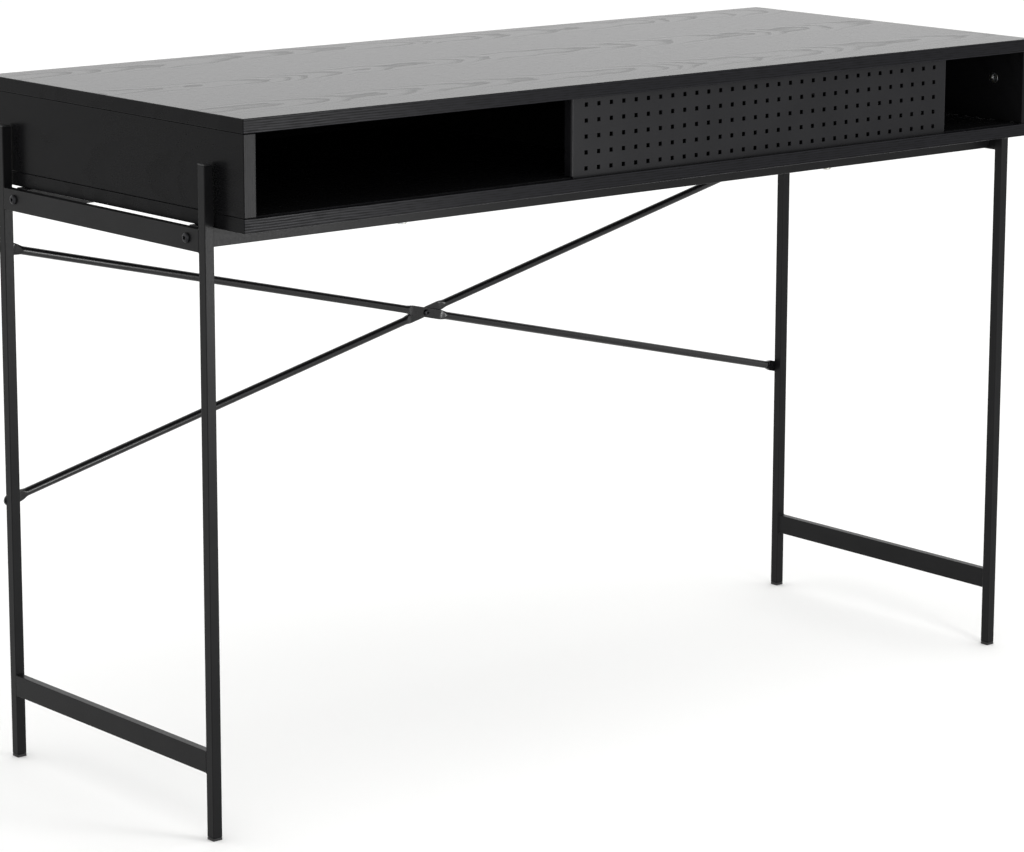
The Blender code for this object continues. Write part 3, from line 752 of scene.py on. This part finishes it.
@dataclass
class Case:
    """Boards of the case, each with its own run of veneer."""

    broad_colour: str = "#101011"
    gloss: float = 0.25
    specular: float = 0.05
    long_band: tuple[str, float] = ("#1c1c1f", 0.20)
    upright_band: tuple[str, float] = ("#151517", 0.04)

    def veneer(
        self, name: str, broad: Facing, upright: bool, start: float, dulling: float = 0.065
    ) -> AshVeneer:
        """Describes one board's veneer.

        Args:
            name: the material's name.
            broad: the way the board's broad faces look.
            upright: whether its front edge stands upright.
            start: where along the flitch the board was cut, in metres.
            dulling: how much duller its growth rings and pores are.

        Returns:
            The board's finish.
        """
        band_colour, band_dulling = self.upright_band if upright else self.long_band
        return AshVeneer(
            name, Slot.VENEER, self.broad_colour, self.gloss, specular=self.specular,
            broad=broad, upright=upright, start=start, dulling=dulling,
            band_colour=band_colour, band_dulling=band_dulling,
        )

    def dress(self) -> None:
        """Dresses the case's boards."""
        runs = {
            "top_board": self.veneer("black_ash_veneer_top", Facing.Z, False, 0.35),
            "bottom_board": self.veneer("black_ash_veneer_bottom", Facing.Z, False, 4.10),
            "side_panel_left": self.veneer("black_ash_veneer_left", Facing.X, True, 2.30, 0.03),
            "side_panel_right": self.veneer("black_ash_veneer_right", Facing.X, True, 7.70, 0.03),
            "back_board": self.veneer("black_ash_veneer_back", Facing.Y, False, 5.20),
            "centre_divider": self.veneer("black_ash_veneer_divider", Facing.X, True, 9.40),
        }
        for node, finish in runs.items():
            dress(node, finish)


@dataclass
class SlidingDoor:
    """Perforated door of folded sheet steel, which slides along the case."""

    finish: PowderCoat = PowderCoat(
        "satin_powder_coat_door", Slot.DOOR, "#151517", 0.42, specular=0.12, drift="#111113",
        patch=80 * MM,
    )

    def dress(self) -> None:
        """Dresses the door."""
        dress("sliding_door", self.finish)


# ------------------------------------------------------------------ fasteners


@dataclass(frozen=True)
class Screw:
    """One kind of bolt, screw or cam, modelled head up with its seat at height 0."""

    name: str
    radius: float
    height: float
    top: float
    rim: float
    drive: Drive
    drive_size: float
    drive_depth: float
    shank: tuple[tuple[float, float], ...] = ()
    sides: int = 32
    rim_steps: int = 5
    wings_across: float = 4.6
    cross_taper: float = 0.3

    def model(self) -> bpy.types.Object:
        """Models the screw.

        Returns:
            The master piece, which is copied to each place.
        """
        middle = (0, 0, self.top - self.height / 2)
        piece = cylinder(self.name, self.sides, self.radius, self.height, middle)
        bottom = self.top - self.height
        with editing(piece):
            pick(piece, "FACE", lambda face: face.normal.z > 0.9)
            bpy.ops.mesh.bevel(
                offset=self.rim, segments=self.rim_steps, affect="EDGES", clamp_overlap=False,
            )
            pick(piece, "FACE", lambda face: face.normal.z < -0.9)
            radius, level = self.radius, bottom
            for new_radius, new_level in self.shank:
                bpy.ops.mesh.extrude_region_move(
                    TRANSFORM_OT_translate={"value": (0, 0, new_level - level)},
                )
                ratio = new_radius / radius
                bpy.ops.transform.resize(
                    value=(ratio, ratio, 1), center_override=(0, 0, new_level),
                )
                radius, level = new_radius, new_level
        combine(piece, self.recess(), "DIFFERENCE")
        smooth(piece)
        return piece

    def recess(self) -> bpy.types.Object:
        """Models the tool that cuts the drive recess.

        Returns:
            The cutting tool.
        """
        if self.drive is Drive.HEXAGON:
            corner = self.drive_size / 2 / math.cos(math.radians(30))
            return cylinder("hexagon_key", 6, corner, 2 * self.drive_depth, (0, 0, self.top))
        wing = self.drive_size / self.wings_across
        arm = (self.drive_size - wing) / 2
        half = Vector((wing / 2, wing / 2, self.drive_depth))
        tool = block("cross_key", UP * self.top - half, UP * self.top + half)
        with editing(tool):
            for axis in (Vector(way) for way in ((1, 0, 0), (0, 1, 0), (-1, 0, 0), (0, -1, 0))):
                pick(tool, "FACE", lambda face: face.normal.dot(axis) > 0.9)
                bpy.ops.mesh.extrude_region_move(TRANSFORM_OT_translate={"value": axis * arm})
            pick(tool, "FACE", lambda face: face.normal.z < -0.9)
            taper = (self.cross_taper, self.cross_taper, 1)
            bpy.ops.transform.resize(value=taper, center_override=(0, 0, self.top))
        return tool


def thread(
    start: float, end: float, radius: float, depth: float, pitch: float
) -> tuple[tuple[float, float], ...]:
    """Lists the crests and roots of a thread, as turned rings.

    Args:
        start: height where the thread starts.
        end: height where it ends, lower down.
        radius: its outer radius.
        depth: how deep its roots are.
        pitch: distance between crests.

    Returns:
        Radius and height of each ring, going down.
    """
    rings = [(radius, start)]
    level = start
    while level - pitch > end:
        rings += [(radius - depth, level - pitch * 0.5), (radius, level - pitch)]
        level -= pitch
    return tuple(rings + [(radius - depth, end)])


@dataclass
class Fasteners:
    """Bolts, screws and cam locks that hold the case and the frame together."""

    zinc: PlatedSteel = PlatedSteel("bright_zinc_plate", Slot.ZINC, "#a8a69c", 0.30, metallic=1.0)
    oxide: PlatedSteel = PlatedSteel(
        "black_oxide_steel", Slot.OXIDE, "#1d1d20", 0.36, metallic=0.85, drift="#2a2a2c",
    )
    bolt_dome: float = 3.3 * MM
    screw_dome: float = 3.0 * MM
    screw_point: float = 0.2 * MM
    cam_shell: float = 2.5 * MM
    cam_slot: tuple[float, float] = (4.0 * MM, 3.7 * MM)

    def build(self) -> None:
        """Models every fastener of the case and of the frame."""
        self.frame_bolts()
        self.case_screws()
        self.board_screws()
        self.cams()

    def frame_bolts(self) -> None:
        """Bolts through the upper rails into the cross rails."""
        low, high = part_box("frame_bolt_front_left")
        dome = self.bolt_dome
        end = -(high.x - low.x - dome)
        winding = thread(start=-11 * MM, end=end, radius=3.0 * MM, depth=0.35 * MM, pitch=1.0 * MM)
        master = Screw(
            "frame_bolt_master", (high.y - low.y) / 2, dome, dome, rim=2.5 * MM, drive=Drive.HEXAGON,
            drive_size=4.0 * MM, drive_depth=2.2 * MM, shank=((3.0 * MM, 0.0), *winding),
        ).model()
        for number, side, _, word in corners():
            node = f"frame_bolt_{word}"
            low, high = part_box(node)
            outer = high.x if side is Side.RIGHT else low.x
            seat = Vector((outer - side.value * dome, *(low + high).yz / 2))
            turn = 17 + 23 * number
            bolt = copy_to(master, f"socket_bolt_{word}", seat, Vector((side.value, 0, 0)), turn)
            fit(bolt, self.oxide, node)
        discard(master)

    def case_screws(self) -> None:
        """Pan-head screws up through the cross rails into the bottom board."""
        low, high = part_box("case_screw_front_left")
        dome = self.screw_dome
        end = -(high.z - low.z - dome)
        winding = thread(
            start=-10 * MM, end=end + 3 * MM, radius=2.0 * MM, depth=0.4 * MM, pitch=1.6 * MM,
        )
        master = Screw(
            "case_screw_master", (high.y - low.y) / 2, dome, dome, rim=1.7 * MM, drive=Drive.CROSS,
            drive_size=4.4 * MM, drive_depth=1.7 * MM,
            shank=((2.0 * MM, 0.0), *winding, (self.screw_point, end)),
        ).model()
        for number, _, _, word in corners():
            node = f"case_screw_{word}"
            low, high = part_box(node)
            seat = Vector((*(low + high).xy / 2, low.z + dome))
            screw = copy_to(master, f"pan_screw_{word}", seat, -UP, 11 + 31 * number)
            fit(screw, self.zinc, node)
        discard(master)

    def board_screws(self) -> None:
        """Countersunk screws up through the bottom board into the panels and the divider."""
        low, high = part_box("divider_screw_front")
        end = -(high.z - low.z)
        countersink = ((3.5 * MM, -3.0 * MM), (3.5 * MM, -15.5 * MM), (2.5 * MM, -15.7 * MM))
        winding = thread(
            start=-18 * MM, end=end + 5 * MM, radius=2.5 * MM, depth=0.5 * MM, pitch=2.4 * MM,
        )
        master = Screw(
            "board_screw_master", (high.x - low.x) / 2, 0.2 * MM, 0.0, rim=0.05 * MM,
            drive=Drive.CROSS, drive_size=5.2 * MM, drive_depth=2.0 * MM,
            shank=(*countersink, *winding, (self.screw_point, end)), rim_steps=1,
        ).model()
        places = {f"board_screw_{word}": f"euro_screw_{word}" for *_, word in corners()}
        places |= {f"divider_screw_{end.value}": f"euro_screw_middle_{end.value}" for end in End}
        for number, (node, name) in enumerate(places.items()):
            low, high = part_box(node)
            seat = Vector((*(low + high).xy / 2, low.z))
            fit(copy_to(master, name, seat, -UP, 29 * number), self.zinc, node)
        discard(master)

    def cams(self) -> None:
        """Cam locks in the side panels' inner faces, and the dowels that they grip."""
        low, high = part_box("cam_lock_front_left")
        master = Screw(
            "cam_master", (high.y - low.y) / 2, high.x - low.x, 0.0, rim=0.5 * MM, drive=Drive.CROSS,
            drive_size=8.4 * MM, drive_depth=2.1 * MM, sides=48, rim_steps=3,
        ).model()
        half, drop = self.cam_slot
        for number, side, _, word in corners():
            low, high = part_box("cam_lock_" + word)
            face = high.x if side is Side.LEFT else low.x
            middle = Vector((face, *(low + high).yz / 2))
            turn = 40 + 7 * number
            cam = copy_to(master, "cam_disc_" + word, middle, Vector((-side.value, 0, 0)), turn)
            # the slot that takes the dowel's head, behind the cam's face and open upwards
            near = face + side.value * self.cam_shell
            far = face + side.value * 2 * (high.x - low.x)
            slot = block(
                "cam_slot", (min(near, far), middle.y - half, middle.z - drop),
                (max(near, far), middle.y + half, high.z + 2 * MM),
            )
            combine(cam, slot, "DIFFERENCE")
            fit(cam, self.zinc, "cam_lock_" + word)
            dress("cam_dowel_" + word, self.zinc)
        discard(master)


# ------------------------------------------------------------------ steel frame


@dataclass
class SideFrames:
    """Legs and side rails, with their weld seams, caps and glides, and the cross rails."""

    steel: PowderCoat = PowderCoat(
        "satin_powder_coat_frame", Slot.FRAME, "#131314", 0.36, specular=0.11, drift="#101011",
    )
    plastic: MouldedPlastic = MouldedPlastic("moulded_plastic_black", Slot.PLASTIC, "#1a1a1b", 0.52)
    seam: float = 1.4 * MM
    seam_flat: float = 0.3 * MM
    seam_cuts: int = 7
    seam_roughness: float = 0.16 * MM
    seam_inset: float = 0.05 * MM
    cap_plate: float = 1.8 * MM
    glide_plate: float = 3.0 * MM
    corner_rounding: float = 0.9 * MM
    edge_rounding: float = 0.8 * MM
    stem: float = 4.5 * MM
    stem_taper: float = 0.86

    def build(self) -> None:
        """Dresses the tubes and models what joins and closes them."""
        for _, side, end, word in corners():
            dress(f"leg_{word}", self.steel)
            self.plug(f"cap_{word}", f"leg_cap_{word}", 1)
            self.plug(f"glide_{word}", f"leg_glide_{word}", -1)
            for level in LEVELS:
                self.weld(level, side, end)
        for node in (f"{level}_rail_{side.word}" for side in Side for level in LEVELS):
            dress(node, self.steel)
        for end in End:
            dress(f"cross_rail_{end.value}", self.steel)

    def plug(self, node: str, name: str, outward: int) -> None:
        """Models a square plastic plug: a rounded plate on a stem inside the tube.

        Args:
            node: the node that it stands for.
            name: the piece's name.
            outward: 1 for a cap that faces up, -1 for a glide that faces down.
        """
        low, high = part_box(node)
        plate = self.cap_plate if outward > 0 else self.glide_plate
        near = high.z - plate if outward > 0 else low.z
        piece = block(name, (low.x, low.y, near), (high.x, high.y, near + plate))
        inner = near if outward > 0 else near + plate
        reach = (high.z - low.z) - plate
        middle = (*(low + high).xy / 2, inner)
        with editing(piece):
            pick(
                piece, "EDGE",
                lambda edge: all(abs(vertex.co.z - inner) > 0.1 * MM for vertex in edge.verts),
            )
            bpy.ops.mesh.bevel(offset=self.corner_rounding, segments=3, affect="EDGES")
            pick(
                piece, "EDGE",
                lambda edge: abs(edge.verts[0].co.z - edge.verts[1].co.z) > 0.3 * MM
                and edge.calc_length() > 0.4 * plate,
            )
            bpy.ops.mesh.bevel(offset=self.edge_rounding, segments=3, affect="EDGES")
            pick(
                piece, "FACE",
                lambda face: abs(face.calc_center_median().z - inner) < 0.05 * MM,
            )
            bpy.ops.mesh.extrude_region_move(TRANSFORM_OT_translate={"value": (0, 0, 0)})
            ratio = 2 * self.stem / (high.x - low.x)
            bpy.ops.transform.resize(value=(ratio, ratio, 1), center_override=middle)
            bpy.ops.mesh.extrude_region_move(
                TRANSFORM_OT_translate={"value": (0, 0, -outward * reach)},
            )
            taper = (self.stem_taper, self.stem_taper, 1)
            bpy.ops.transform.resize(value=taper, center_override=middle)
        smooth(piece)
        fit(piece, self.plastic, node)

    def weld(self, level: str, side: Side, end: End) -> None:
        """Models the fillet weld round the end of a side rail, ground flush on the outside.

        Args:
            level: upper or lower.
            side: the side of the desk.
            end: the leg that the rail meets.
        """
        low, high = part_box(f"{level}_rail_{side.word}")
        leg_low, leg_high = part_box(f"leg_{end.value}_{side.word}")
        face = leg_high.y if end is End.FRONT else leg_low.y
        away = 1 if end is End.FRONT else -1
        outer = high.x if side is Side.RIGHT else low.x
        inner = low.x if side is Side.RIGHT else high.x
        inner_wide = inner - side.value * self.seam
        tip = face + away * (self.seam + self.seam_flat)
        flush = outer - side.value * self.seam_inset
        piece = block(
            f"weld_{level}_{end.value}_{side.word}",
            (min(inner_wide, flush), min(face, tip), low.z - self.seam),
            (max(inner_wide, flush), max(face, tip), high.z + self.seam),
        )
        middle = (low.z + high.z) / 2
        with editing(piece):
            pick(piece, "FACE", lambda face: face.normal.y * away > 0.9)
            bpy.ops.transform.resize(
                value=(
                    (abs(inner - flush) - 2 * self.seam_inset) / abs(inner_wide - flush), 1,
                    (high.z - low.z - 4 * self.seam_inset) / (high.z - low.z + 2 * self.seam),
                ),
                center_override=(flush, tip, middle),
            )
            bpy.ops.mesh.select_all(action="SELECT")
            bpy.ops.mesh.subdivide(number_cuts=self.seam_cuts)
            pick(
                piece, "FACE",
                lambda face: abs(face.normal.y) < 0.9 and face.normal.x * side.value < 0.9,
            )
            bpy.ops.transform.vertex_random(
                offset=self.seam_roughness, normal=0.7,
                seed=3 + len(level) + 5 * (side.value + 1) + away,
            )
        apply_modifier(piece, "SUBSURF", levels=1, render_levels=1)
        smooth(piece, 60)
        fit(piece, self.steel)


@dataclass
class Ring:
    """One section of a brace rod: its centre, the ways it is wide and thin, and its shape."""

    centre: Vector
    wide: Vector
    thin: Vector
    half_wide: float
    half_thin: float
    square: float

    def mirrored(self) -> "Ring":
        """Gives the same section on the other side of the desk."""
        return replace(self, centre=MIRROR @ self.centre, wide=MIRROR @ self.wide)

    def point(self, turn: float) -> Vector:
        """Gives a point on the section.

        Args:
            turn: the point's turn round the section, in radians.

        Returns:
            The point, on an ellipse at square 2 and nearer a rectangle above it.
        """
        wide, thin = (
            math.copysign(abs(share) ** (2 / self.square), share)
            for share in (math.cos(turn), math.sin(turn))
        )
        return self.centre + self.wide * self.half_wide * wide + self.thin * self.half_thin * thin


@dataclass
class CrossBrace:
    """Two rods with flattened ends, bolted to the back legs and to each other."""

    oxide: PlatedSteel
    zinc: PlatedSteel
    steel: PowderCoat = PowderCoat(
        "glossy_powder_coat_brace", Slot.FRAME, "#121213", 0.24, specular=0.30, drift="#0f0f10",
    )
    sides: int = 28
    radius: float = 5.0 * MM
    strap: float = 3.0 * MM
    tab: float = 14.0 * MM
    tab_end: float = 1.0 * MM
    tab_flat: float = 6.6 * MM
    waist: float = 12.5 * MM
    waist_half: float = 21.5 * MM
    swell: float = 12 * MM
    hole: float = 2.8 * MM
    dome: float = 2.6 * MM
    nut_flats: float = 8.0 * MM
    nut_chamfer: float = 0.5 * MM
    square_strap: float = 7.0
    first_turn: float = 12.0
    tip_steps: int = 7
    swell_steps: int = 7

    def build(self) -> None:
        """Models both rods, their bolts and the nut at the crossing."""
        self.rod(End.FRONT, Side.LEFT)
        self.rod(End.BACK, Side.RIGHT)
        self.bolts()
        self.nut()
        for node in (f"brace_insert_{level}_{side.word}" for side in Side for level in LEVELS):
            dress(node, self.zinc)

    def flattened(self, share: float, width: float) -> tuple[float, float, float]:
        """Gives a section's shape between round and flat.

        Args:
            share: 0 for the round rod, 1 for the flat strap.
            width: the strap's width.

        Returns:
            Half the width, half the thickness, and how square the section is.
        """
        eased = share * share * (3 - 2 * share)
        return (
            self.radius + (width / 2 - self.radius) * eased,
            self.radius + (self.strap / 2 - self.radius) * eased,
            2 + (self.square_strap - 2) * eased,
        )

    def half(self, bolt: Vector, tab_y: float, plane_y: float, middle_z: float) -> list[Ring]:
        """Lists the sections from the tip behind the left leg to the brace's middle.

        Args:
            bolt: middle of the bolt through the tab.
            tab_y: place of the tab, from front to back.
            plane_y: place of the round rod, from front to back.
            middle_z: height where the rods cross.

        Returns:
            The sections, in order.
        """
        end = Vector((-abs(bolt.x), 0, bolt.z))
        middle = Vector((0, 0, middle_z))
        length = (middle - end).length
        run = (middle - end) / length
        across = Vector((-run.z, 0, run.x))
        low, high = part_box("leg_back_left")
        half_leg = (high.x - low.x) / 2
        tip = -(half_leg + self.tab_end) / run.x
        flat_end = (half_leg + self.tab_flat) / run.x
        wide, thin, square = self.flattened(1, self.tab)
        rings = []
        # the tab's tip is a half circle
        for step in range(self.tip_steps):
            share = step / (self.tip_steps - 1)
            turn = math.radians(self.first_turn + (90 - self.first_turn) * share)
            at = end + run * (tip + wide * (1 - math.cos(turn))) + BACKWARDS * tab_y
            rings.append(Ring(at, across, -BACKWARDS, wide * math.sin(turn), thin, square))
        shares = [step / self.swell_steps for step in range(self.swell_steps + 1)]
        for share in shares:
            y = tab_y + (plane_y - tab_y) * share * share * (3 - 2 * share)
            at = end + run * (flat_end + self.swell * share) + BACKWARDS * y
            rings.append(Ring(at, across, -BACKWARDS, *self.flattened(1 - share, self.tab)))
        for share in shares:
            reach = self.waist_half + self.swell * (1 - share)
            at = end + run * (length - reach) + BACKWARDS * plane_y
            rings.append(Ring(at, across, -BACKWARDS, *self.flattened(share, self.waist)))
        for share in (0.6, 0.3):
            at = end + run * (length - self.waist_half * share) + BACKWARDS * plane_y
            rings.append(Ring(at, across, -BACKWARDS, *self.flattened(1, self.waist)))
        rings.append(Ring(middle + BACKWARDS * plane_y, UP, -BACKWARDS, *self.flattened(1, self.waist)))
        return rings

    def rod(self, end: End, upper: Side) -> None:
        """Models one rod from a cylinder whose sections are set one by one.

        Args:
            end: front or back rod.
            upper: the side where its upper end is.
        """
        node = f"brace_rod_{end.value}"
        planes = [sum(corner.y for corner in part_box(f"brace_rod_{e.value}")) / 2 for e in End]
        tab_y, plane_y = sum(planes) / 2, planes[0] if end is End.FRONT else planes[1]
        bolts = {}
        for side in Side:
            low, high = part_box(f"brace_bolt_{'upper' if side is upper else 'lower'}_{side.word}")
            bolts[side] = (low + high) / 2
        middle_z = sum(bolt.z for bolt in bolts.values()) / 2
        left, right = (self.half(bolts[side], tab_y, plane_y, middle_z) for side in Side)
        rings = left + [ring.mirrored() for ring in right[-2::-1]]

        rod = cylinder(f"brace_bar_{end.value}", self.sides, 1, 1)
        with editing(rod):
            pick(rod, "EDGE", lambda edge: abs(edge.verts[0].co.z - edge.verts[1].co.z) > 0.5)
            bpy.ops.mesh.subdivide(number_cuts=len(rings) - 2)
        for vertex in rod.data.vertices:
            ring = rings[round((vertex.co.z + 0.5) * (len(rings) - 1))]
            vertex.co = ring.point(math.atan2(vertex.co.y, vertex.co.x))
        smooth(rod)
        for place in (*bolts.values(), Vector((0, 0, middle_z))):
            middle = (place.x, tab_y, place.z)
            drill = cylinder("bolt_hole", 24, self.hole, 8 * self.strap, middle, tilt=90)
            combine(rod, drill, "DIFFERENCE")
        activate(rod)
        bpy.ops.object.shade_smooth_by_angle(angle=math.radians(35))
        fit(rod, self.steel, node)

    def bolt_master(self, name: str, node: str, plain: float) -> bpy.types.Object:
        """Models a bolt as long as its node.

        Args:
            name: the master's name.
            node: the node that gives its size.
            plain: length of its shank above the thread.

        Returns:
            The master bolt, which is copied to each place.
        """
        low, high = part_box(node)
        end = -(high.y - low.y - self.dome)
        winding = thread(start=-plain, end=end, radius=2.5 * MM, depth=0.3 * MM, pitch=0.8 * MM)
        return Screw(
            name, (high.x - low.x) / 2, self.dome, self.dome, rim=1.9 * MM, drive=Drive.HEXAGON,
            drive_size=3.0 * MM, drive_depth=1.6 * MM, shank=((2.5 * MM, 0.0), *winding),
        ).model()

    def bolts(self) -> None:
        """Models the bolts at the legs and at the crossing."""
        master = self.bolt_master("leg_bolt_master", "brace_bolt_upper_left", 4 * MM)
        for number, (side, level) in enumerate((s, v) for s in Side for v in LEVELS):
            node = f"brace_bolt_{level}_{side.word}"
            low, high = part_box(node)
            seat = Vector(((low.x + high.x) / 2, high.y - self.dome, (low.z + high.z) / 2))
            name, turn = f"leg_bolt_{level}_{side.word}", 8 + 19 * number
            fit(copy_to(master, name, seat, BACKWARDS, turn), self.oxide, node)
        discard(master)

        master = self.bolt_master("centre_bolt_master", "brace_centre_bolt", 5 * MM)
        low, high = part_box("brace_centre_bolt")
        seat = Vector((0, low.y + self.dome, (low.z + high.z) / 2))
        bolt = copy_to(master, "crossing_bolt", seat, -BACKWARDS, 12)
        fit(bolt, self.oxide, "brace_centre_bolt")
        discard(master)

    def nut(self) -> None:
        """Models the chamfered hexagon nut on the end of the bolt at the crossing."""
        low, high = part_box("brace_centre_nut")
        height = high.y - low.y
        corner = self.nut_flats / 2 / math.cos(math.radians(30))
        middle = (0, 0, height / 2)
        master = cylinder("nut_master", 36, corner * 1.001, height, middle)
        with editing(master):
            pick(master, "FACE", lambda face: abs(face.normal.z) > 0.9)
            bpy.ops.mesh.bevel(offset=self.nut_chamfer, segments=2, affect="EDGES")
        combine(master, cylinder("hexagon", 6, corner, 2 * height, middle), "INTERSECT")
        combine(master, cylinder("bore", 24, self.hole, 3 * height, middle), "DIFFERENCE")
        smooth(master, 25)
        seat = Vector(((low.x + high.x) / 2, low.y, (low.z + high.z) / 2))
        nut = copy_to(master, "crossing_nut", seat, BACKWARDS, 21)
        fit(nut, self.oxide, "brace_centre_nut")
        discard(master)


# ------------------------------------------------------------------ studio


@dataclass(frozen=True)
class SoftLight:
    """A square light, hidden from the camera: its place, aim, size and power in watts."""

    name: str
    place: tuple[float, float, float]
    aim: tuple[float, float, float]
    size: float
    power: float
    mirrored: bool

    def hang(self) -> None:
        """Hangs the light where it belongs."""
        data = bpy.data.lights.new(self.name, "AREA")
        data.size, data.energy = self.size, self.power
        light = bpy.data.objects.new(self.name, data)
        bpy.context.scene.collection.objects.link(light)
        light.location = self.place
        way = Vector(self.aim) - light.location
        light.rotation_euler = way.to_track_quat("-Z", "Y").to_euler()
        light.visible_camera = False
        light.visible_glossy = self.mirrored


@dataclass
class Studio:
    """Camera, pale floor and soft light."""

    camera_place: tuple[float, float, float] = (-2.8297, -3.3279, 1.3018)
    yaw: float = 40.053
    pitch: float = 11.411
    roll: float = 0.132
    lens: float = 128.38
    shift_y: float = -0.0586
    floor_size: float = 240.0
    floor_colour: str = "#fbfbfa"
    horizon: float = 1.86
    zenith: float = 0.30
    # the ceiling panel lights the floor and doesn't show in the desk's gloss
    soft_lights: tuple[SoftLight, ...] = (
        SoftLight("front_softbox", (0.25, -1.50, 0.48), (-0.62, -0.25, 0.60), 0.45, 11.0, True),
        SoftLight("ceiling_panel", (1.8, 2.4, 5.5), (1.8, 2.4, 0.0), 13.0, 330.0, False),
    )

    def build(self) -> None:
        """Sets up the camera, the floor and the lights."""
        self.camera()
        self.floor()
        self.lights()

    def camera(self) -> None:
        """Aims the camera at the desk from its front left corner, a little above the top."""
        data = bpy.data.cameras.new("camera")
        data.lens, data.sensor_width = self.lens, 36.0
        data.shift_y = self.shift_y
        camera = bpy.data.objects.new("camera", data)
        bpy.context.scene.collection.objects.link(camera)
        turn = (
            Matrix.Rotation(-math.radians(self.yaw), 4, "Z")
            @ Matrix.Rotation(math.radians(90 - self.pitch), 4, "X")
            @ Matrix.Rotation(math.radians(self.roll), 4, "Z")
        )
        camera.matrix_world = Matrix.Translation(self.camera_place) @ turn
        bpy.context.scene.camera = camera

    def floor(self) -> None:
        """Lays a pale matt floor."""
        deselect()
        bpy.ops.mesh.primitive_plane_add(size=self.floor_size)
        floor = added("studio_floor")
        material = bpy.data.materials.new("matt_painted_floor")
        material.use_nodes = True
        tree = material.node_tree
        shader = tree.nodes["Principled BSDF"]
        shader.inputs["Roughness"].default_value = 0.9
        shader.inputs["Specular IOR Level"].default_value = 0.1
        shader.inputs["Base Color"].default_value = linear(self.floor_colour)
        floor.data.materials.append(material)

    def lights(self) -> None:
        """Lights the desk from all round, most of all from the horizon and the left front."""
        world = bpy.data.worlds.new("studio")
        bpy.context.scene.world = world
        world.use_nodes = True
        tree = world.node_tree
        background = tree.nodes["Background"]
        background.inputs["Color"].default_value = linear("#fdfdfd")
        place = add_node(tree, "ShaderNodeTexCoord", {})
        way = add_node(tree, "ShaderNodeSeparateXYZ", {0: place.outputs["Generated"]})
        strength = add_node(
            tree, "ShaderNodeMapRange",
            {0: way.outputs[2], 1: 0.0, 2: 1.0, 3: self.horizon, 4: self.zenith},
        )
        tree.links.new(strength.outputs[0], background.inputs["Strength"])
        for light in self.soft_lights:
            light.hang()
        bpy.context.scene.view_settings.view_transform = "Standard"


def main() -> None:
    """Builds the desk's looks and the studio, in order."""
    logging.basicConfig(level=logging.INFO, format="%(message)s")
    Studio().build()
    Case().dress()
    SlidingDoor().dress()
    fasteners = Fasteners()
    fasteners.build()
    SideFrames().build()
    CrossBrace(fasteners.oxide, fasteners.zinc).build()


if __name__ == "__main__":
    main()
